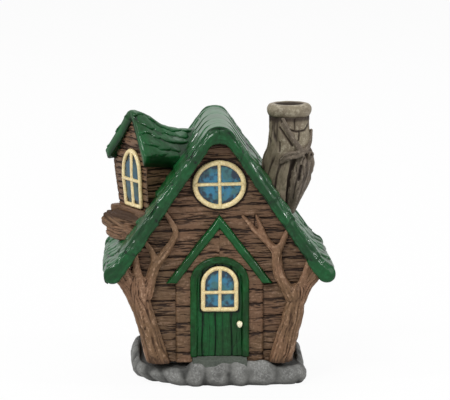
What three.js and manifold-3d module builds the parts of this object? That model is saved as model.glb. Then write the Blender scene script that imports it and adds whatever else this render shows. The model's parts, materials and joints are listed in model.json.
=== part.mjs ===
// A cottage-shaped incense cone burner in glazed ceramic, in millimetres, +Z up, its front facing -Y.
// The house is a hollow cover that stands on a rock base. The cone burns on a small dish inside it,
// air comes in under the walls, and the smoke leaves through the chimney.
import * as THREE from "three";
import { mergeVertices } from "three/addons/utils/BufferGeometryUtils.js";
import Module from "manifold-3d";

const wasm = await Module();
wasm.setup();

// Clearance between neighbouring pieces
const seam = 0.3;

// Rock base
const baseHalfWidth = 48;
const baseHalfDepth = 47;
const deckHeight = 10.5;
const rimRise = 3.2;
const rimLow = 0.6;
const rimSpan = 30;
const rimWidth = 5;
const rockLump = 1.2;
const rockCount = 17;
// The slab's outline in shares of its half width and half depth, as [x, y, how far the foot is drawn in],
// anticlockwise from the left
const rockPlan = [
  [-1.0, 0.17, 0.97],
  [-0.996, -0.298, 0.95],
  [-0.958, -0.596, 0.92],
  [-0.875, -0.787, 0.88],
  [-0.719, -0.898, 0.88],
  [-0.542, -0.962, 0.93],
  [-0.271, -1.0, 0.99],
  [0.0, -0.994, 1],
  [0.25, -1.0, 1],
  [0.5, -0.983, 0.97],
  [0.688, -0.953, 0.93],
  [0.875, -0.906, 0.94],
  [0.971, -0.766, 0.95],
  [0.983, -0.468, 0.96],
  [0.987, -0.085, 0.97],
  [0.987, 0.34, 0.97],
  [0.967, 0.702, 0.96],
  [0.854, 0.915, 0.95],
  [0.604, 0.987, 0.97],
  [0.208, 1.0, 0.98],
  [-0.208, 0.991, 0.98],
  [-0.583, 0.996, 0.97],
  [-0.844, 0.915, 0.95],
  [-0.975, 0.702, 0.96],
];

// What the base carries
const plinthRise = 6;
const plinthClearance = 2;
const seatLugLength = 10;
const seatLugSpread = 22;
const cupRadius = 16;
const cupRise = 3.5;
const dishRadius = 12;
const dishHeight = 6.5;
const dishWall = 0.9;
const dishFloor = 1.2;
const dishClearance = 0.4;
const dishSink = 2.5;
const stepHalfWidth = 14.6;
const stepRise = 5.8;
const stepReach = 3.4;

// House walls
const airGap = 2.5;
const houseHalfDepth = 38;
const footHalfWidth = 36;
const eaveHalfWidth = 48;
const wallThickness = 4.5;
const plankPitch = 10.8;
const plankSeamDepth = 0.8;
const plankSeamHeight = 0.9;

// Main roof
const pitch = THREE.MathUtils.degToRad(56);
const ridgeHeight = 140.2;
const ridgeRadius = 9;
const soffitRadius = 6.85;
const roofThickness = 5.7;
const roofHalfDepth = 46;
const eaveSpan = 59.5;
const eaveLip = 5.9;
const eaveBulge = 5.2;
const flareStart = 48;
const flareRate = 0.0435;
const courseLength = 9.2;
const courseStep = 1.1;
const bargeboardDepth = 3.6;
const ridgeCapReach = 18;
const ridgeCapRise = 1;
const ridgeCapStarts = [-roofHalfDepth + bargeboardDepth + seam, -27, -6, 14, 33];

// Porch, door and windows
const porchHalfWidth = 23.5;
const porchDepth = 2.5;
const trimPeak = 79.9;
const trimReach = 28.6;
const trimDrop = 37.1;
const trimWidth = 6.4;
const trimDepth = 3.8;
const limbUnit = 1;
const limbOverhang = 5.6;
const doorHalfWidth = 15.4;
const doorRise = 53.6;
const doorArchRise = 13.5;
const doorFrameWidth = 3.2;
const doorFrameDepth = 4.3;
const doorLeafDepth = 2.7;
const doorPlankWidth = 7.6;
const knobRadius = 1.7;
const knobSide = 10.6;
const knobHeight = 18.4;
const windowFrameWidth = 2.3;
const windowDepth = 1.8;
const windowBar = 2.1;
const paneThickness = 0.7;
const doorWindowHalfWidth = 10.2;
const doorWindowHeight = 25;
const doorWindowArchRise = 10.2;
const doorWindowSill = 24.1;
const gableWindowHalfWidth = 14.3;
const gableWindowHalfHeight = 13.1;
const gableWindowDrop = 31.2;

// Dormer on the left slope
const dormerX = -45;
const dormerY = 2;
const dormerTurn = THREE.MathUtils.degToRad(-62);
const dormerLeft = 17.2;
const dormerRight = 16;
const dormerFlare = 0.14;
const dormerSill = 86.5;
const dormerEave = 115.8;
const dormerRidge = 144;
const dormerRidgeFall = 12.6;
const dormerFallLength = 28;
const dormerLength = 46;
const dormerSpanLeft = 22.4;
const dormerSpanRight = 19.4;
const dormerOverhang = 1.2;
const dormerVergeLeft = 4;
const dormerVergeRight = 1.6;
const dormerRoofThickness = 4.2;
const dormerRidgeRadius = 4.5;
const dormerWindowHalfWidth = 10.4;
const dormerWindowHeight = 32.2;
const dormerWindowArchRise = 14.5;
const dormerWindowFoot = 0.9;
const dormerWindowShift = 0.5;
const sillRise = 3.7;
const sillReach = 2.6;

// Chimney on the right slope
const chimneyX = 39.7;
const chimneyY = 5;
const chimneyTop = 146.8;
const stackRadius = 11;
const collarHeight = 7.6;
const collarRadius = 12.3;
const flueRadius = 6.5;
const flueMouthRadius = 8;

const wallFoot = deckHeight + airGap;
const eaveDrop = eaveSpan - eaveLip;
const slope = Math.tan(pitch);
const roofApex = ridgeHeight + ridgeRadius * (1 / Math.cos(pitch) - 1);
const soffitApex = roofApex - roofThickness / Math.cos(pitch);
const frontFace = -houseHalfDepth;
const eaveHeight = soffitApex - eaveHalfWidth * slope;
const wallHeight = eaveHeight - wallFoot;
const farAway = 300;

const glaze = {
  rock: new THREE.MeshStandardMaterial({ color: 0x6f706e, roughness: 0.85 }),
  timber: new THREE.MeshStandardMaterial({ color: 0x6a4c3e, roughness: 0.5 }),
  bark: new THREE.MeshStandardMaterial({ color: 0x755646, roughness: 0.55 }),
  green: new THREE.MeshStandardMaterial({ color: 0x1f5a35, roughness: 0.15 }),
  cream: new THREE.MeshStandardMaterial({ color: 0xd9cf97, roughness: 0.25 }),
  blue: new THREE.MeshStandardMaterial({ color: 0x2f7396, roughness: 0.12 }),
  stump: new THREE.MeshStandardMaterial({ color: 0x7d7464, roughness: 0.6 }),
  metal: new THREE.MeshStandardMaterial({ color: 0xb08d4f, roughness: 0.35, metalness: 1 }),
};

// A closed geometry as a solid that can be joined and cut.
function toSolid(geometry) {
  const bare = geometry.index ? geometry.toNonIndexed() : geometry.clone();
  bare.deleteAttribute("normal");
  bare.deleteAttribute("uv");
  const merged = mergeVertices(bare, 1e-4);
  const made = new wasm.Manifold(
    new wasm.Mesh({
      numProp: 3,
      vertProperties: merged.attributes.position.array,
      triVerts: new Uint32Array(merged.index.array),
    }),
  );
  return made;
}

function toGeometry(solid) {
  const { vertProperties, triVerts } = solid.getMesh();
  const geometry = new THREE.BufferGeometry();
  geometry.setAttribute("position", new THREE.BufferAttribute(vertProperties, 3));
  geometry.setIndex(new THREE.BufferAttribute(triVerts, 1));
  const flat = geometry.toNonIndexed();
  flat.computeVertexNormals();
  return flat;
}

function piece(name, solid, material, x = 0, y = 0, z = 0) {
  const mesh = new THREE.Mesh(toGeometry(solid), material);
  mesh.name = name;
  mesh.position.set(x, y, z);
  return mesh;
}

// An outline in x and z, carried from the y of its front to the y of its back.
function prismY(outline, front, back) {
  const shape = new THREE.Shape(outline.map(([x, z]) => new THREE.Vector2(x, z)));
  const geometry = new THREE.ExtrudeGeometry(shape, { depth: back - front, bevelEnabled: false });
  geometry.rotateX(Math.PI / 2);
  geometry.translate(0, back, 0);
  return toSolid(geometry);
}

// An outline in x and y, carried from one height to another.
function prismZ(outline, bottom, top) {
  const shape = new THREE.Shape(outline.map(([x, y]) => new THREE.Vector2(x, y)));
  const geometry = new THREE.ExtrudeGeometry(shape, { depth: top - bottom, bevelEnabled: false });
  geometry.translate(0, 0, bottom);
  return toSolid(geometry);
}

function box(x0, x1, y0, y1, z0, z1) {
  const geometry = new THREE.BoxGeometry(x1 - x0, y1 - y0, z1 - z0);
  geometry.translate((x0 + x1) / 2, (y0 + y1) / 2, (z0 + z1) / 2);
  return toSolid(geometry);
}

// A solid of revolution about a vertical axis, from a profile of [radius, height].
function turned(profile, x, y, sides) {
  const points = profile.map(([r, z]) => new THREE.Vector2(r, z));
  const geometry = new THREE.LatheGeometry(points, sides);
  geometry.rotateX(Math.PI / 2);
  geometry.translate(x, y, 0);
  return toSolid(geometry);
}

// Closed rings of points, joined one to the next and capped at both ends.
function loft(rings) {
  const count = rings[0].length;
  const positions = rings.flat().flatMap((p) => [p.x, p.y, p.z]);
  const index = [];
  for (let r = 0; r + 1 < rings.length; r++) {
    for (let i = 0; i < count; i++) {
      const a = r * count + i;
      const b = r * count + ((i + 1) % count);
      index.push(a, b, b + count, a, b + count, a + count);
    }
  }
  for (const [ring, base, forward] of [
    [rings[0], 0, false],
    [rings.at(-1), (rings.length - 1) * count, true],
  ]) {
    const normal = new THREE.Vector3();
    ring.forEach((p, i) => normal.add(new THREE.Vector3().crossVectors(p, ring[(i + 1) % count])));
    normal.normalize();
    const across = new THREE.Vector3().subVectors(ring[1], ring[0]).normalize();
    const up = new THREE.Vector3().crossVectors(normal, across);
    const flat = ring.map((p) => new THREE.Vector2(p.dot(across), p.dot(up)));
    for (const [a, b, c] of THREE.ShapeUtils.triangulateShape(flat, [])) {
      index.push(base + a, base + (forward ? b : c), base + (forward ? c : b));
    }
  }
  const geometry = new THREE.BufferGeometry();
  geometry.setAttribute("position", new THREE.Float32BufferAttribute(positions, 3));
  geometry.setIndex(index);
  return toSolid(geometry);
}

// A tapering limb through points of [x, y, z, radius].
function limb(points, sides = 7, stepsPerSpan = 2) {
  const curve = new THREE.CatmullRomCurve3(points.map(([x, y, z]) => new THREE.Vector3(x, y, z)));
  const steps = (points.length - 1) * stepsPerSpan;
  const frames = curve.computeFrenetFrames(steps);
  const rings = [];
  for (let k = 0; k <= steps; k++) {
    const t = k / steps;
    const span = Math.min(Math.floor(t * (points.length - 1)), points.length - 2);
    const share = t * (points.length - 1) - span;
    const radius = THREE.MathUtils.lerp(points[span][3], points[span + 1][3], share);
    const centre = curve.getPoint(t);
    const normal = frames.normals[k];
    const binormal = frames.binormals[k];
    rings.push(
      Array.from({ length: sides }, (_, i) => {
        const turn = (2 * Math.PI * i) / sides;
        return centre
          .clone()
          .addScaledVector(normal, radius * Math.cos(turn))
          .addScaledVector(binormal, radius * Math.sin(turn));
      }),
    );
  }
  return loft(rings);
}

function joined(solids) {
  return solids.reduce((whole, next) => whole.add(next));
}

const mirrored = (outline) => outline.map(([x, z]) => [-x, z]).reverse();

// Half-width of the flared walls at a height.
function wallHalfAt(z) {
  return footHalfWidth + ((eaveHalfWidth - footHalfWidth) * (z - wallFoot)) / wallHeight;
}

// Height of a roof line over x: two slopes that meet at an apex, rounded at the ridge.
function roofLine(x, apex, radius) {
  const ax = Math.abs(x);
  if (ax < radius * Math.sin(pitch)) {
    return apex - radius / Math.cos(pitch) + Math.sqrt(radius ** 2 - ax ** 2);
  }
  return apex - ax * slope;
}

// Points of a rounded ridge, from its middle to where the straight slope starts.
function ridgeArc(apex, radius, steps = 4) {
  return Array.from({ length: steps + 1 }, (_, i) => {
    const x = radius * Math.sin((pitch * i) / steps);
    return [x, roofLine(x, apex, radius)];
  });
}

const flare = (x) => flareRate * Math.max(0, x - flareStart) ** 2;

// Outer face of the right slope, from the ridge to the eave, lifted square to the slope.
function slopeFace(lift, stepped) {
  const apex = roofApex + lift / Math.cos(pitch);
  const arc = ridgeArc(apex, ridgeRadius + lift);
  const start = arc.at(-1)[0];
  const length = (eaveSpan - start) / Math.cos(pitch);
  const courses = Math.round(length / courseLength);
  const points = [...arc];
  for (let i = 1; i <= courses; i++) {
    const x = start + ((eaveSpan - start) * i) / courses;
    const z = apex - x * slope + flare(x);
    if (stepped) {
      points.push([x + courseStep * Math.sin(pitch), z + courseStep * Math.cos(pitch)]);
    }
    points.push([x, z]);
  }
  return points;
}

// A long cap over the ridge, lifted at its front edge over the cap before it.
function ridgeCap(front, back) {
  const side = (lift) => {
    const apex = roofApex + lift / Math.cos(pitch);
    return [...ridgeArc(apex, ridgeRadius + lift), [ridgeCapReach, apex - ridgeCapReach * slope]];
  };
  const ring = (lift, y) => {
    const outer = side(lift);
    const inner = side(-2);
    const underLeft = inner.slice(1).map(([x, z]) => [-x, z]);
    const outline = [...outer, ...[...inner].reverse(), ...underLeft, ...mirrored(outer).slice(0, -1)];
    return outline.map(([x, z]) => new THREE.Vector3(x, y, z));
  };
  return loft([ring(ridgeCapRise, front), ring(0.1, back)]);
}

// The thick round end of the right eave, from the outer face to the soffit.
function eaveEnd(grow, steps = 6) {
  const top = [eaveSpan, roofApex - eaveSpan * slope + flare(eaveSpan)];
  const low = [eaveDrop, soffitApex - eaveDrop * slope];
  const half = Math.hypot(top[0] - low[0], top[1] - low[1]) / 2;
  const along = [(top[0] - low[0]) / 2 / half, (top[1] - low[1]) / 2 / half];
  const out = [along[1], -along[0]];
  return Array.from({ length: steps - 1 }, (_, i) => {
    const turn = (Math.PI * (i + 1)) / steps;
    const a = (half + grow) * Math.cos(turn);
    const b = (eaveBulge + grow) * Math.sin(turn);
    return [
      (top[0] + low[0]) / 2 + along[0] * a + out[0] * b,
      (top[1] + low[1]) / 2 + along[1] * a + out[1] * b,
    ];
  });
}

// Underside of the right slope, from the eave to the ridge, lowered square to the slope.
function soffitFace(lower) {
  const apex = soffitApex - lower / Math.cos(pitch);
  const low = [eaveDrop, apex - eaveDrop * slope];
  return [low, ...ridgeArc(apex, soffitRadius).reverse()];
}

// Everything below the roof's outer face, as a block for cutting what stands on the roof.
function underRoofFace(grow) {
  const face = slopeFace(courseStep + grow, false);
  const outline = [...mirrored(face.slice(1)), ...face, [eaveSpan, 0], [-eaveSpan, 0]];
  return prismY(outline.reverse(), -farAway, farAway);
}

// Everything above the soffit and the eave ends, as a block for cutting what grows up to it.
function aboveSoffit(grow) {
  const right = [...eaveEnd(grow), ...soffitFace(grow)];
  const outline = [
    [eaveSpan + farAway, farAway],
    [eaveSpan + farAway, right[0][1]],
    ...right,
    ...mirrored(right).slice(1),
    [-eaveSpan - farAway, right[0][1]],
    [-eaveSpan - farAway, farAway],
  ];
  return prismY(outline.reverse(), -farAway, farAway);
}

// The outline of an arched opening, inset evenly.
function archOutline(half, bottom, top, archRise, inset = 0, steps = 14) {
  const spring = top - archRise;
  const arc = Array.from({ length: steps + 1 }, (_, i) => {
    const turn = (Math.PI * i) / steps;
    return [(half - inset) * Math.cos(turn), spring + (archRise - inset) * Math.sin(turn)];
  });
  return [[-(half - inset), bottom + inset], [half - inset, bottom + inset], ...arc];
}

function ellipseOutline(rx, rz, inset = 0, steps = 28) {
  return Array.from({ length: steps }, (_, i) => {
    const turn = (2 * Math.PI * i) / steps;
    return [(rx - inset) * Math.cos(turn), (rz - inset) * Math.sin(turn)];
  });
}

// A window on the plane y = 0 that faces -y: a frame with a cross of bars, and the pane behind them.
function windowParts(outlineAt, crossHeight) {
  const ring = prismY(outlineAt(0), -windowDepth, 0).subtract(
    prismY(outlineAt(windowFrameWidth), -windowDepth - 1, 1),
  );
  const barBack = -paneThickness - seam;
  const halfBar = windowBar / 2;
  const bars = box(-halfBar, halfBar, -windowDepth, barBack, -farAway, farAway)
    .add(box(-farAway, farAway, -windowDepth, barBack, crossHeight - halfBar, crossHeight + halfBar))
    .intersect(prismY(outlineAt(windowFrameWidth / 2), -windowDepth, barBack));
  return {
    frame: ring.add(bars),
    pane: prismY(outlineAt(windowFrameWidth + seam), -paneThickness, 0),
  };
}

// A ring of the lumpy slab: at a height, or on the rim, which rises beside the house and fades at its ends.
function rockRing(share, shrink, onRim = false) {
  const corners = rockPlan.map(
    ([x, y, foot]) => new THREE.Vector3(x * baseHalfWidth, y * baseHalfDepth, foot),
  );
  const curve = new THREE.CatmullRomCurve3(corners, true);
  const count = 68;
  return Array.from({ length: count }, (_, i) => {
    const t = i / count;
    const { x, y, z: foot } = curve.getPoint(t);
    const lump = (rockLump * (1 - Math.abs(Math.sin(rockCount * Math.PI * t)))) / Math.hypot(x, y);
    const scale = (1 - lump) * shrink * THREE.MathUtils.lerp(foot, 1, Math.min(1, share * 1.6));
    const bump = Math.max(0, 1 - (y / rimSpan) ** 2) ** 1.5;
    const behind = THREE.MathUtils.smoothstep(y, -baseHalfDepth + 4, -rimSpan + 8);
    const rise = rimLow * behind + (rimRise - rimLow) * bump;
    return new THREE.Vector3(
      THREE.MathUtils.clamp(x * scale, -baseHalfWidth, baseHalfWidth),
      THREE.MathUtils.clamp(y * scale, -baseHalfDepth, baseHalfDepth),
      share * deckHeight + (onRim ? rise : 0),
    );
  });
}

function makeBase() {
  const slab = loft([
    rockRing(0, 1),
    rockRing(0.28, 1),
    rockRing(0.65, 1),
    rockRing(1, 0.985),
    rockRing(1, 0.96, true),
  ]);
  const pocketX = baseHalfWidth - rimWidth;
  const pocketY = baseHalfDepth - rimWidth;
  const pocket = box(-pocketX, pocketX, -farAway, pocketY, deckHeight, farAway);
  return slab.subtract(pocket);
}

// A low block inside the walls that keeps the house in place, with lugs that the side walls stand on.
function makePlinth() {
  const halfX = footHalfWidth - wallThickness - plinthClearance;
  const halfY = houseHalfDepth - wallThickness - plinthClearance;
  const lugReach = footHalfWidth - 0.5;
  const block = box(-halfX, halfX, -halfY, halfY, deckHeight, deckHeight + plinthRise);
  const lugs = [-1, 1].map((side) =>
    box(
      -lugReach,
      lugReach,
      side * seatLugSpread - seatLugLength / 2,
      side * seatLugSpread + seatLugLength / 2,
      deckHeight,
      wallFoot,
    ),
  );
  return joined([block, ...lugs]);
}

const plinthTop = deckHeight + plinthRise;
const dishSeat = plinthTop + cupRise - dishSink;

// The round cup on the plinth, with a shallow seat for the dish.
function makeCup() {
  const seatRadius = dishRadius + dishClearance;
  return turned(
    [
      [0, plinthTop],
      [cupRadius, plinthTop],
      [cupRadius - 1, plinthTop + cupRise],
      [seatRadius, plinthTop + cupRise],
      [seatRadius, dishSeat],
      [0, dishSeat],
    ],
    0,
    0,
    40,
  );
}

function makeDish() {
  const lip = dishRadius - dishWall;
  return turned(
    [
      [0, dishSeat],
      [dishRadius - 1, dishSeat],
      [dishRadius, dishSeat + 1],
      [dishRadius, dishSeat + dishHeight],
      [lip, dishSeat + dishHeight],
      [lip, dishSeat + dishFloor],
      [0, dishSeat + dishFloor],
    ],
    0,
    0,
    40,
  );
}

function makeDoorStep() {
  const front = frontFace - doorFrameDepth - stepReach;
  const round = 1.5;
  const outline = [
    [-stepHalfWidth, frontFace - seam],
    [-stepHalfWidth, front + round],
    [-stepHalfWidth + round, front],
    [stepHalfWidth - round, front],
    [stepHalfWidth, front + round],
    [stepHalfWidth, frontFace - seam],
  ];
  return prismZ(outline, deckHeight, deckHeight + stepRise);
}

// Grooves between planks, sunk into a face at the y given and running the whole width.
function plankSeams(face, outward, firstHeight, lastHeight, halfWidth) {
  const seams = [];
  for (let z = firstHeight; z < lastHeight; z += plankPitch) {
    const inner = face - outward * plankSeamDepth;
    const outer = face + outward;
    seams.push(
      box(-halfWidth, halfWidth, Math.min(inner, outer), Math.max(inner, outer), z, z + plankSeamHeight),
    );
  }
  return joined(seams);
}

// The outline of a gable wall, under the soffit.
function gableOutline() {
  const top = soffitFace(seam).filter(([x]) => x <= eaveHalfWidth);
  const apex = soffitApex - seam / Math.cos(pitch);
  const corner = [eaveHalfWidth, apex - eaveHalfWidth * slope];
  const right = [[footHalfWidth, wallFoot], corner, ...top];
  return [...right, ...mirrored(right).slice(1)];
}

function makeGable(front, back, face, outward) {
  const wall = prismY(gableOutline(), front, back);
  return wall.subtract(
    plankSeams(face, outward, wallFoot + plankPitch, soffitApex - plankPitch, eaveHalfWidth + 1),
  );
}

// The flared wall of one side, between the gables, with its planks' seams.
function makeSideWall(side) {
  const apex = soffitApex - seam / Math.cos(pitch);
  const inner = eaveHalfWidth - wallThickness;
  const outline = [
    [footHalfWidth - wallThickness, wallFoot],
    [footHalfWidth, wallFoot],
    [eaveHalfWidth, apex - eaveHalfWidth * slope],
    [inner, apex - inner * slope],
    [inner, apex - eaveHalfWidth * slope],
  ];
  const end = houseHalfDepth - wallThickness - seam;
  let wall = prismY(outline, -end, end);
  for (let z = wallFoot + plankPitch; z < eaveHeight - 1; z += plankPitch) {
    const face = wallHalfAt(z);
    wall = wall.subtract(box(face - plankSeamDepth, face + 2, -end, end, z, z + plankSeamHeight));
  }
  return side > 0 ? wall : turnedRound(wall);
}

// The same solid on the other side of the house, turned half round the middle.
function turnedRound(solid) {
  const geometry = toGeometry(solid);
  geometry.rotateZ(Math.PI);
  return toSolid(geometry);
}

const porchTop = wallFoot + trimPeak;
const trimSlope = trimDrop / trimReach;
const doorFoot = deckHeight + stepRise + seam;
const doorTop = doorFoot + doorRise;

function makePorchTrim() {
  const half = [
    [0, porchTop],
    [trimReach, porchTop - trimDrop],
    [trimReach - trimWidth / trimSlope, porchTop - trimDrop],
    [0, porchTop - trimWidth],
  ];
  const outline = [half[0], half[1], half[2], half[3], [-half[2][0], half[2][1]], [-half[1][0], half[1][1]]];
  return prismY(outline.reverse(), frontFace - trimDepth, frontFace - seam);
}

function makePorchPanel() {
  const under = porchTop - trimWidth - seam / Math.cos(Math.atan(trimSlope));
  const shoulder = under - porchHalfWidth * trimSlope;
  const outline = [
    [-porchHalfWidth, wallFoot],
    [porchHalfWidth, wallFoot],
    [porchHalfWidth, shoulder],
    [0, under],
    [-porchHalfWidth, shoulder],
  ];
  const face = frontFace - porchDepth;
  const hole = archOutline(doorHalfWidth, wallFoot - 5, doorTop, doorArchRise, -seam);
  const panel = prismY(outline, face, frontFace - seam);
  const seams = plankSeams(face, -1, wallFoot + 0.55 * plankPitch, shoulder + plankPitch, porchHalfWidth + 1);
  const legs = panel.subtract(prismY(hole, face - 1, frontFace)).subtract(seams);
  return legs;
}

function makeDoorFrame() {
  const at = (inset) => archOutline(doorHalfWidth, doorFoot, doorTop, doorArchRise, inset);
  const opening = archOutline(
    doorHalfWidth,
    doorFoot - 2 * doorFrameWidth,
    doorTop,
    doorArchRise,
    doorFrameWidth,
  );
  return prismY(at(0), frontFace - doorFrameDepth, frontFace - seam).subtract(
    prismY(opening, frontFace - doorFrameDepth - 1, frontFace),
  );
}

function makeDoorLeaf() {
  const inset = doorFrameWidth + seam;
  const outline = archOutline(doorHalfWidth, doorFoot - inset, doorTop, doorArchRise, inset);
  const face = frontFace - doorLeafDepth;
  const grooves = [-1.5, -0.5, 0.5, 1.5].map((k) => {
    const x = k * doorPlankWidth;
    return box(x - 0.35, x + 0.35, face - 1, face + 0.6, 0, farAway);
  });
  return prismY(outline, face, frontFace - seam).subtract(joined(grooves));
}

function makeKnob() {
  const neck = 0.45 * knobRadius;
  const ball = Array.from({ length: 6 }, (_, i) => {
    const turn = (Math.PI * (i + 2)) / 8;
    return [knobRadius * Math.sin(turn), 1.9 * knobRadius - knobRadius * Math.cos(turn)];
  });
  const profile = [[0, 0], [neck, 0], [neck, knobRadius], ...ball, [0, 2.9 * knobRadius]];
  const points = profile.map(([r, y]) => new THREE.Vector2(r, y));
  const geometry = new THREE.LatheGeometry(points, 14);
  geometry.rotateZ(Math.PI);
  return toSolid(geometry);
}

// Limbs of a corner tree, as points of [inward from the wall's side line, share of the wall height, out,
// radius], drawn in limb units for eaves that stand past the walls by limbOverhang
const frontTreeLimbs = {
  left: [
    [
      [3.5, -0.05, 0.5, 6.6], [2.6, 0.24, 0.8, 6], [1.8, 0.5, 1, 5.6], [1, 0.72, 1.2, 5.2],
      [2, 0.84, 1.2, 3.8],
    ],
    [[-0.6, 0.56, 0.8, 3.8], [-3.6, 0.76, 1, 3.2], [-8.2, 0.9, 0.6, 2.8], [-11, 1.02, 0, 2.2]],
    [[1.2, 0.68, 2, 2.4], [-1.4, 0.82, 2, 2.1], [-4, 1, 1.4, 1.9]],
    [[4.4, 0.74, 2.4, 2.6], [3.4, 0.94, 2, 2.3], [3.2, 1.1, 1.4, 1.7]],
    [
      [6, 0.72, 2.4, 2.4], [10.4, 0.92, 1.8, 2.1], [13.2, 1.04, 1.4, 1.9], [11.6, 1.15, 1.2, 1.6],
      [8, 1.24, 1, 1.3],
    ],
    [
      [6, 0.7, 2, 3.2], [12.4, 0.96, 1.6, 2.8], [18.8, 1.12, 1.2, 2.5], [23, 1.24, 1, 2.1],
      [24.6, 1.34, 0.8, 1.8], [21.6, 1.46, 0.8, 1.5], [18, 1.56, 0.6, 1.3],
    ],
  ],
  right: [
    [[3.4, -0.05, 0.5, 6.6], [2.8, 0.24, 0.8, 6], [2.4, 0.5, 1.2, 5.6], [3, 0.72, 1.4, 5]],
    [[1, 0.6, 1, 3.8], [-1.6, 0.78, 1, 3.2], [-5.6, 0.9, 0.8, 2.7], [-8.4, 1.02, 0, 2.2]],
    [[3.2, 0.68, 2.2, 2.8], [1.2, 0.84, 2.2, 2.3], [0.2, 1.02, 1.4, 1.8]],
    [
      [5.4, 0.66, 2.4, 3.6], [12, 0.82, 2.4, 3.2], [16, 0.94, 2, 3], [17.4, 1.08, 1.8, 2.8],
      [17.4, 1.16, 1.6, 2.5],
    ],
    [
      [17.6, 1.12, 1.6, 2.4], [22.4, 1.23, 1.2, 2.1], [28, 1.32, 0.8, 1.7], [32.6, 1.43, 0.6, 1.3],
      [35.6, 1.49, 0.4, 1],
    ],
    [[21.6, 1.2, 1, 1.7], [25, 1.34, 0.8, 1.5], [27.4, 1.46, 0.6, 1.1], [28.4, 1.5, 0.4, 0.9]],
    [[17.4, 1.1, 1.6, 2.1], [14, 1.24, 1.2, 1.8], [11.4, 1.36, 0.8, 1.4]],
  ],
};
const rearTreeLimbs = [
  [[3.4, -0.05, 0, 6], [2.8, 0.26, 0.6, 5.6], [2.4, 0.52, 1, 5], [2.2, 0.76, 1.2, 4]],
  [[0.8, 0.6, 0.8, 3.2], [-2.4, 0.8, 0.8, 2.8], [-7.6, 1.0, 0.4, 2.2]],
  [[4, 0.66, 2, 3], [9.6, 0.9, 1.4, 2.6], [13.6, 1.14, 1, 2], [14.4, 1.3, 0.8, 1.5]],
];

const houseBlock = (grow) => {
  const outline = [
    [-footHalfWidth - grow, wallFoot - 1],
    [footHalfWidth + grow, wallFoot - 1],
    [footHalfWidth + grow, wallFoot],
    [eaveHalfWidth + grow, eaveHeight],
    [0, soffitApex + grow],
    [-eaveHalfWidth - grow, eaveHeight],
    [-footHalfWidth - grow, wallFoot],
  ];
  return prismY(outline, -houseHalfDepth - grow, houseHalfDepth + grow);
};

// A tree that grows up a corner of the house and spreads over the gable, to the soffit.
function makeTree(limbs, side, facing, cutters) {
  const spread = limbUnit * Math.min(1, (eaveDrop - eaveHalfWidth) / limbOverhang);
  const solids = limbs.map((points) =>
    limb(
      points.map(([inward, share, out, radius]) => {
        const z = wallFoot + share * wallHeight;
        const half = wallHalfAt(Math.min(z, eaveHeight)) - inward * (inward < 0 ? spread : limbUnit);
        return [side * half, facing * (houseHalfDepth + out * limbUnit), z, radius * limbUnit];
      }),
    ),
  );
  return cutters.reduce((tree, cutter) => tree.subtract(cutter), joined(solids));
}

// Turns a geometry from the dormer's own frame, where its gable faces -y, to its place on the roof.
function placeDormer(solid) {
  const geometry = toGeometry(solid);
  geometry.rotateZ(dormerTurn);
  geometry.translate(dormerX, dormerY, 0);
  return toSolid(geometry);
}

// The right half of a section across the dormer's roof, as points of [x, z].
function dormerHalfSection(along, span, drop) {
  const steps = 5;
  const run = Math.min(1, Math.max(0, along) / dormerFallLength);
  const ridge = dormerRidge - dormerRidgeFall * Math.sin((Math.PI / 2) * run) ** 1.4;
  const lean = Math.atan2(ridge - dormerEave + (3 * along) / dormerLength, span);
  const apex = ridge + dormerRidgeRadius * (1 / Math.cos(lean) - 1);
  const arcAt = (radius, top) =>
    Array.from({ length: steps + 1 }, (_, i) => {
      const turn = lean * (i / steps);
      return [radius * Math.sin(turn), top - radius / Math.cos(lean) + radius * Math.cos(turn)];
    });
  const soffit = apex - (dormerRoofThickness + drop) / Math.cos(lean);
  const tip = [span, apex - span * Math.tan(lean) + 1.2];
  const lip = span - 0.5 * dormerRoofThickness;
  return {
    outer: [...arcAt(dormerRidgeRadius, apex), tip, [span + 0.8, tip[1] - 0.6 * dormerRoofThickness]],
    inner: [[lip, soffit - lip * Math.tan(lean)], ...arcAt(0.5 * dormerRidgeRadius, soffit).reverse()],
  };
}

// A loft along the dormer of closed outlines, each made from the two halves of a section of its roof.
function dormerLoft(outlineOf, drop, ahead = 0) {
  const sections = 8;
  const rings = Array.from({ length: sections + 1 }, (_, k) => {
    const along = -dormerOverhang + (k / sections) * (dormerLength + dormerOverhang);
    const halves = [dormerSpanRight, dormerSpanLeft].map((span) => dormerHalfSection(along, span, drop));
    return outlineOf(...halves).map(([x, z]) => {
      const verge = x < 0 ? dormerVergeLeft / dormerSpanLeft : dormerVergeRight / dormerSpanRight;
      const reach = Math.abs(x) * verge;
      return new THREE.Vector3(x, along - reach * (1 - k / sections) ** 3, z);
    });
  });
  if (ahead > 0) {
    rings.unshift(rings[0].map(({ x, y, z }) => new THREE.Vector3(x, y - ahead, z)));
  }
  return placeDormer(loft(rings));
}

function makeDormerRoof(cutter) {
  const outline = (right, left) => [
    ...right.outer,
    ...right.inner,
    ...mirrored([...left.outer, ...left.inner]).slice(1, -1),
  ];
  return dormerLoft(outline, 0).subtract(cutter);
}

function dormerBlock(grow) {
  const ring = (z) => {
    const flareOut = dormerFlare * (z - dormerSill);
    return [
      [-dormerLeft - flareOut - grow, -grow],
      [dormerRight + grow, -grow],
      [dormerRight + grow, dormerLength],
      [-dormerLeft - flareOut - grow, dormerLength],
    ].map(([x, y]) => new THREE.Vector3(x, y, z));
  };
  return loft([ring(dormerSill - grow), ring(dormerRidge + 6)]);
}

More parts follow.
